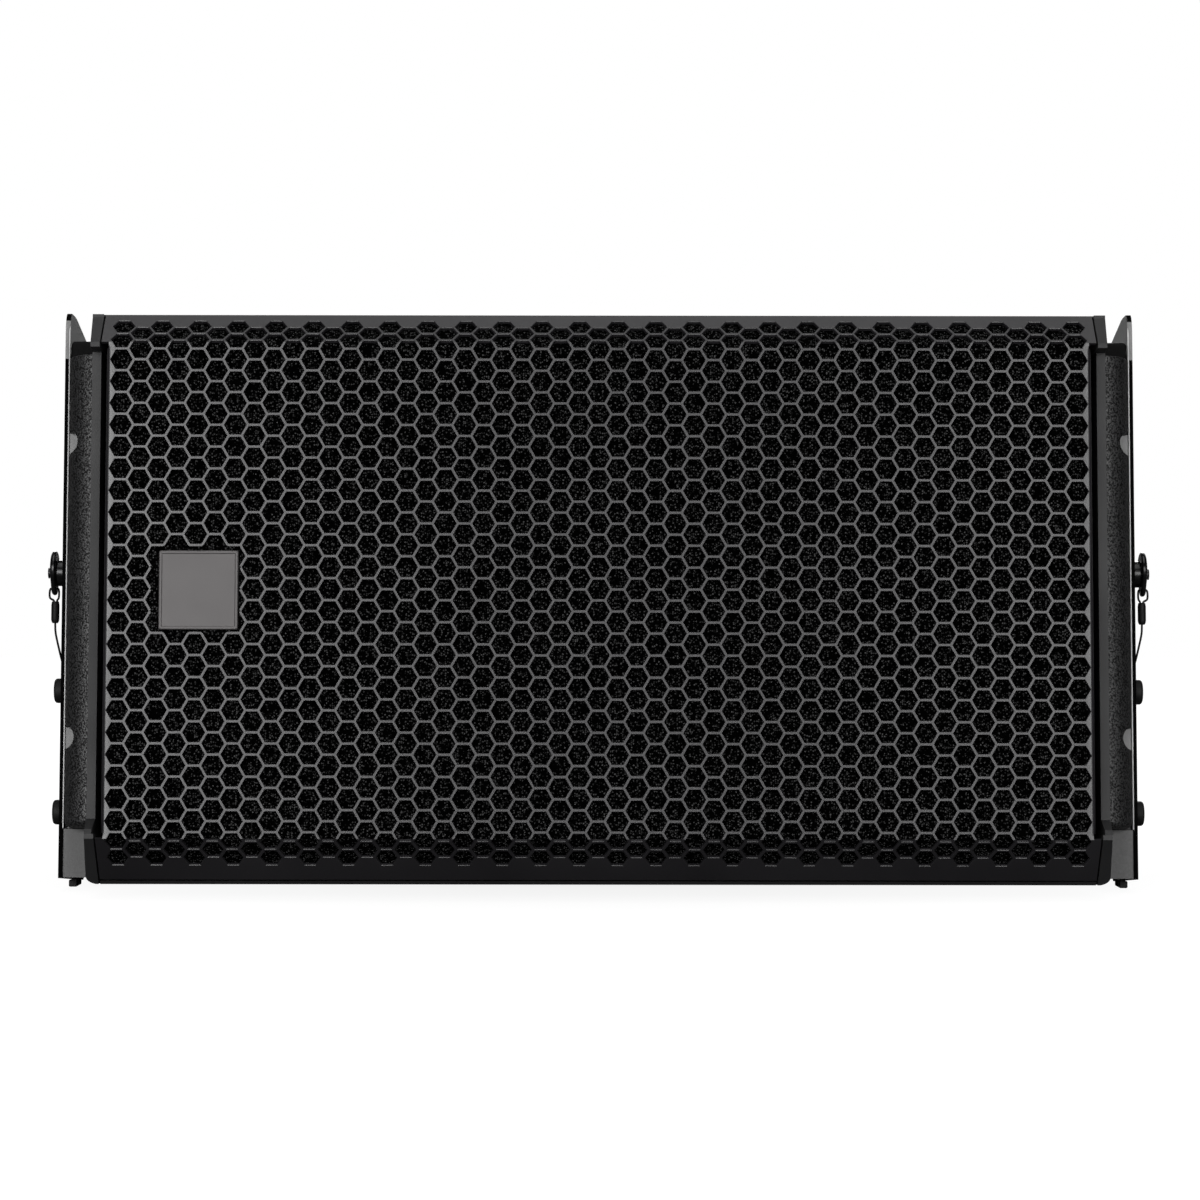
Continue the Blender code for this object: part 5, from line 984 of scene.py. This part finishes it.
comb = [(SINK_RIGHT, ON_PANEL), (SINK_LEFT, ON_PANEL)]
fin_end, base = ON_PANEL + 28.4 * MM, ON_PANEL + 4 * MM
fin_pitch = (SINK_RIGHT - SINK_LEFT - FIN) / (FIN_COUNT - 1)
for i in range(FIN_COUNT):
    x = SINK_LEFT + i * fin_pitch
    comb += [(x, fin_end), (x + FIN, fin_end)]
    if i < FIN_COUNT - 1:
        comb += [(x + FIN, base), (x + fin_pitch, base)]
sink = prism("ribbed_heat_sink", comb, "z", -SINK_HALF_HEIGHT, SINK_HALF_HEIGHT)
show(soften(sink, 0.35 * MM, 2, 40), anodised, nodes=["heat_sink"])


# Sockets: mains and signal connectors of moulded nylon with nickel contacts. Each has a flange that two small
# screws hold to the panel, and a round bore for the plug.

# Moulded nylon: hard black with a trace of flow marks
nylon = coat("moulded_nylon", "#151517", "#1c1c1e", 7, (0.38, 0.54), 0.4, 0.02)
# Nickel: bright contact metal, a little tarnished
nickel = coat("nickel_contact", "#aeaba3", "#bfbcb4", 2, (0.2, 0.36), 0.4, 0.004, 1.0)

FACE = ON_PANEL + 2.4 * MM
SOCKET_HALF, SOCKET_HALF_HEIGHT = 13 * MM, 15.5 * MM


def make_socket(name, x, z, contacts, ring, radius):
    """A socket whose contacts stand on a ring in its bore; ring and radius are in millimetres."""
    flange = block("socket_" + name, (x - SOCKET_HALF, x + SOCKET_HALF), (ON_PANEL, FACE),
                   (z - SOCKET_HALF_HEIGHT, z + SOCKET_HALF_HEIGHT))
    soften(flange, 0.8 * MM, 3, 50)
    join(flange, drum("barrel", 11.8 * MM, "y", (x, z), FACE - 20 * MM, ON_PANEL + 1.2 * MM, 40))
    bore = steps_from(FACE, (0, -15), (9, -15), (9, -0.6), (9.6, 0), (9.6, 3), (0, 3))
    cut(flange, turned("bore", bore, "y", (x, z), 40))
    parts = []
    contact = steps_from(FACE, (0, -16), (radius, -16), (radius, -10.6), (0.5 * radius, -10), (0, -10))
    for i in range(contacts):
        angle = math.tau * i / contacts + math.pi / 2
        place = (x + ring * math.cos(angle) * MM, z + ring * math.sin(angle) * MM)
        parts.append(turned("contact", contact, "y", place, 16))
    outline = steps_from(FACE, (0, -1), (1.8, -1), (1.8, 0.4), (1.4, 0.9), (0, 0.9))
    for corner in (-1, 1):
        place = (x + corner * 9.5 * MM, z + corner * 12 * MM)
        screw = turned("screw", outline, "y", place, 18)
        recess = prism("recess", hexagon(place, 0.9 * MM), "y", FACE + 0.2 * MM, FACE + 2 * MM)
        parts.append(cut(screw, recess))
    body_faces = len(flange.data.polygons)
    merge(flange, *parts)
    show(flange, (nylon, nickel), nodes=[name],
         pick=lambda face: int(face.index >= body_faces))


for socket_name, (x, z) in SOCKETS.items():
    if socket_name.startswith("mains"):
        make_socket(socket_name, x, z, 1, 0, 3.0)
    else:
        make_socket(socket_name, x, z, 3, 4.5, 1.6 if socket_name.endswith("input") else 1.2)
dress(nylon, "power_supply")


# Controls: a level knob of moulded nylon, ribbed for the fingers and pushed onto its shaft, and two preset
# buttons of rubber that stand through holes in the panel.

KNOB_POINTS = 96
knob_rings = []
for y, radius, groove in ((0, 7.6, 0.0), (0.5, 8.0, 0.35), (8.6, 7.25, 0.35), (10.2, 6.9, 0.15),
                          (11, 6.2, 0.0)):
    ring = []
    for i in range(KNOB_POINTS):
        r = (radius - groove * (i % 4 > 1)) * MM
        angle = math.tau * i / KNOB_POINTS
        ring.append((KNOB[0] + r * math.cos(angle), ON_PANEL + y * MM, KNOB[1] + r * math.sin(angle)))
    knob_rings.append(ring)
knob = loft("ribbed_knob", knob_rings)
merge(knob, drum("shaft", 3 * MM, "y", KNOB, PANEL_BACK - WALL, ON_PANEL + MM, 24),
      block("pointer", (KNOB[0] - 0.5 * MM, KNOB[0] + 0.5 * MM), (ON_PANEL + 10.7 * MM, ON_PANEL + 11 * MM),
            (KNOB[1] + 2 * MM, KNOB[1] + 6 * MM)))
show(knob, nylon, "level_knob", ["level_knob"])
outline = steps_from(PANEL_FACE, (0, -12), (4, -12), (4, 3), (3.6, 3.7), (2.4, 4), (0, 3.6))
for number, place in enumerate(BUTTONS, 1):
    button = turned(f"rubber_button_{number}", outline, "y", place, 28)
    show(button, rubber, f"preset_button_{number}", [f"preset_button_{number}"])


# Handles: two bars of the cabinet's grained polypropylene, moulded with rounded edges. They are fixed to the
# rear wall and bridge the hand pockets in its corners.

HANDLE_DEPTH, HANDLE_HALF, GRIP = 27 * MM, 9.5 * MM, 17 * MM

for side, sign in SIDES:
    foot = BODY_DEPTH + GAP
    back = foot + HANDLE_DEPTH
    inner = back - GRIP
    half = [(inner, 41.75 * MM), (inner - 2.1 * MM, 46 * MM), (foot, 46 * MM), (foot, 58 * MM),
            (inner, 58 * MM), (back - 2.8 * MM, 55.2 * MM), (back, 49.5 * MM), (back, 41 * MM)]
    outline = half + [(y, -z) for y, z in reversed(half)]
    middle = sign * (REAR_HALF - 15 * MM)
    bar = prism("grab_handle_" + side, outline, "x", middle - HANDLE_HALF, middle + HANDLE_HALF)
    show(soften(bar, 2.2 * MM, 4, 25), grained_plastic, nodes=["handle_" + side])


# Rear rigging: a U-shaped steel bracket on the panel, the link arm that swings out of it on a pivot bolt,
# and a quick-lock pin parked through its cheeks.

PIVOT_Y, PIVOT_Z = ON_PANEL + 15 * MM, 66 * MM
PIVOT_HOLE = 4.4 * MM
REAR_PIN_Z = -44 * MM
BRACKET_HALF, BRACKET_INSIDE = 8.5 * MM, 5.5 * MM
BRACKET_BOTTOM, BRACKET_TOP = -72 * MM, 86 * MM
ARM_HALF, ARM_LENGTH = 9 * MM, 72 * MM

edge = ON_PANEL + 26 * MM
web = ON_PANEL + 3 * MM
past = (-16 * MM, 16 * MM)
bracket = prism("channel_bracket", [
    (-BRACKET_HALF, ON_PANEL), (BRACKET_HALF, ON_PANEL), (BRACKET_HALF, edge), (BRACKET_INSIDE, edge),
    (BRACKET_INSIDE, web), (-BRACKET_INSIDE, web), (-BRACKET_INSIDE, edge), (-BRACKET_HALF, edge)],
    "z", BRACKET_BOTTOM, BRACKET_TOP)
cut(bracket, drum("hole", PIVOT_HOLE, "x", (PIVOT_Y, PIVOT_Z), *past, 28),
    drum("hole", PIN_HOLE, "x", (PIVOT_Y, REAR_PIN_Z), *past, 28))
show(soften(bracket, 0.4 * MM, 2, 50), black_coat, nodes=["rear_bracket"])

arm_low = PIVOT_Z - ARM_LENGTH
outline = arc((PIVOT_Y, PIVOT_Z), ARM_HALF, 0, 180, 20) + arc((PIVOT_Y, arm_low), ARM_HALF, 180, 360, 20)
arm = prism("link_arm", outline, "x", -5 * MM, 5 * MM)
past = (-12 * MM, 12 * MM)
cut(arm, drum("bore", PIVOT_HOLE, "x", (PIVOT_Y, PIVOT_Z), *past, 28),
    drum("hole", PIN_HOLE, "x", (PIVOT_Y, arm_low), *past, 28))
show(soften(arm, 0.5 * MM, 2, 50), zinc_plate, "rear_link_arm", ["rear_link_arm"])

head = BRACKET_HALF + GAP
half = steps_from(head, (4, 0), (5.25, 0), (5.25, 2.2), (4.2, 3.3), (0, 3.3))
pivot = turned("pivot_bolt", [(r, -x) for r, x in reversed(half)] + half, "x", (PIVOT_Y, PIVOT_Z))
for sign in (-1, 1):
    cut(pivot, prism("socket", hexagon((PIVOT_Y, PIVOT_Z), BOLT_SOCKET), "x", sign * (head + 1.3 * MM),
                     sign * (head + 8 * MM)))
show(pivot, black_oxide, nodes=["rear_link_pivot"])
make_pin("rear_quick_pin", 1, BRACKET_HALF, 21 * MM, PIVOT_Y, REAR_PIN_Z, "rear_pin")
make_pin_button("rear_quick_button", 1, BRACKET_HALF, PIVOT_Y, REAR_PIN_Z, "rear_pin_button")


# Stage: a plain grey painted floor and a backdrop that both read as white. Two soft boxes light the object
# from the front, and weaker ones from above, from its sides and from behind.

# Floor paint: matt. The camera sees it lifted to white, fully so away from the object; nearer the object the
# lift is less, a faint painted shade around it, where the floor also keeps the object's real shadow
floor_paint, tree, place = blank("floor_paint")
seen = add(tree, "LightPath", {})
away = add(tree, "VectorMath", {0: place}, operation="LENGTH").outputs["Value"]
lift = add(tree, "MapRange", {"Value": away, "From Min": 0.1, "From Max": 0.36, "To Min": 0.87,
                              "To Max": 1.0}).outputs["Result"]
lift = add(tree, "Math", {0: lift, 1: seen.outputs["Is Camera Ray"]}, operation="MULTIPLY").outputs[0]
glow = add(tree, "Emission", {"Color": (1, 1, 1, 1), "Strength": lift}).outputs[0]
paint = add(tree, "BsdfDiffuse", {"Color": colour("#545454")}).outputs[0]
both = add(tree, "AddShader", {0: paint, 1: glow}).outputs[0]
add(tree, "OutputMaterial", {"Surface": both})
floor = loft("floor", [[(x, y, z) for x, y in ((-6, -6), (6, -6), (6, 6), (-6, 6))] for z in (-0.01, 0)])
floor.data.materials.append(floor_paint)

# Backdrop: white to the camera, and behind the object white in reflections too; the rest of the room is dim,
# and black flags beside the object keep it out of reflections
world = bpy.data.worlds.new("white_studio")
bpy.context.scene.world = world
world.use_nodes = True
tree = world.node_tree
tree.nodes.clear()
seen = add(tree, "LightPath", {})
way = add(tree, "SeparateXYZ", {0: add(tree, "TexCoord", {}).outputs["Generated"]}).outputs["Y"]
shiny = add(tree, "Math", {0: seen.outputs["Is Glossy Ray"], 1: seen.outputs["Is Transmission Ray"]},
            operation="MAXIMUM").outputs[0]
behind = add(tree, "MapRange", {"Value": way, "From Min": 0.7, "From Max": 0.97}).outputs["Result"]
shiny = add(tree, "Math", {0: shiny, 1: behind}, operation="MULTIPLY").outputs[0]
share = add(tree, "Math", {0: shiny, 1: seen.outputs["Is Camera Ray"]}, operation="MAXIMUM").outputs[0]
room = add(tree, "MapRange", {"Value": way, "From Min": 0.1, "From Max": 0.95, "To Min": 0.14,
                              "To Max": 0.6}).outputs["Result"]
flag = add(tree, "Math", {0: seen.outputs["Is Glossy Ray"], 1: -0.95, 2: 1.0},
           operation="MULTIPLY_ADD").outputs[0]
room = add(tree, "Math", {0: room, 1: flag}, operation="MULTIPLY").outputs[0]
strength = add(tree, "Mix", {0: share, 2: room, 3: 1.0}).outputs[0]
studio = add(tree, "Background", {"Color": (1, 1, 1, 1), "Strength": strength}).outputs[0]
add(tree, "OutputWorld", {"Surface": studio})


AIM = (0, 0, 0.12)


def soft_box(name, place, size, radiance):
    """A rectangular light of an even brightness, turned towards the middle of the object."""
    data = bpy.data.lights.new(name, "AREA")
    data.shape = "RECTANGLE"
    data.size, data.size_y = size
    data.energy = radiance * math.pi * size[0] * size[1]
    made = bpy.data.objects.new(name, data)
    bpy.context.scene.collection.objects.link(made)
    made.location = place
    made.rotation_euler = (Vector(AIM) - Vector(place)).to_track_quat("-Z", "Y").to_euler()
    made.visible_camera = False


soft_box("front_left_box", (-1.05, -2.9, 0.68), (1.3, 1.1), 12)
soft_box("front_right_box", (1.05, -2.9, 0.68), (1.3, 1.1), 8.5)
soft_box("top_box", (0, -0.5, 1.9), (1.6, 1.6), 2.2)
soft_box("left_box", (-2.0, -2.1, 0.6), (0.9, 1.2), 2.0)
soft_box("right_box", (2.0, -2.1, 0.6), (0.9, 1.2), 2.0)
soft_box("rear_box", (0, 2.6, 1.0), (1.8, 1.0), 8)


# Camera: level and square to the front, 1.5 metres from the grille. Its long lens gives the photograph's size
# and framing.

LENS_PIXELS, PHOTO_PIXELS, SENSOR = 3680, 1200, 36
CAMERA_X, CAMERA_Z, DISTANCE, ROLL = 0.0006, 0.1227, 1.5, 0.08
camera_data = bpy.data.cameras.new("camera")
camera_data.sensor_width = SENSOR
camera_data.lens = LENS_PIXELS / PHOTO_PIXELS * SENSOR
camera = bpy.data.objects.new("camera", camera_data)
bpy.context.scene.collection.objects.link(camera)
camera.matrix_world = (Matrix.Translation((CAMERA_X, FACE_Y - DISTANCE, CAMERA_Z))
                       @ Matrix.Rotation(math.radians(90), 4, "X")
                       @ Matrix.Rotation(math.radians(ROLL), 4, "Z"))
bpy.context.scene.camera = camera
bpy.context.scene.view_settings.view_transform = "Standard"
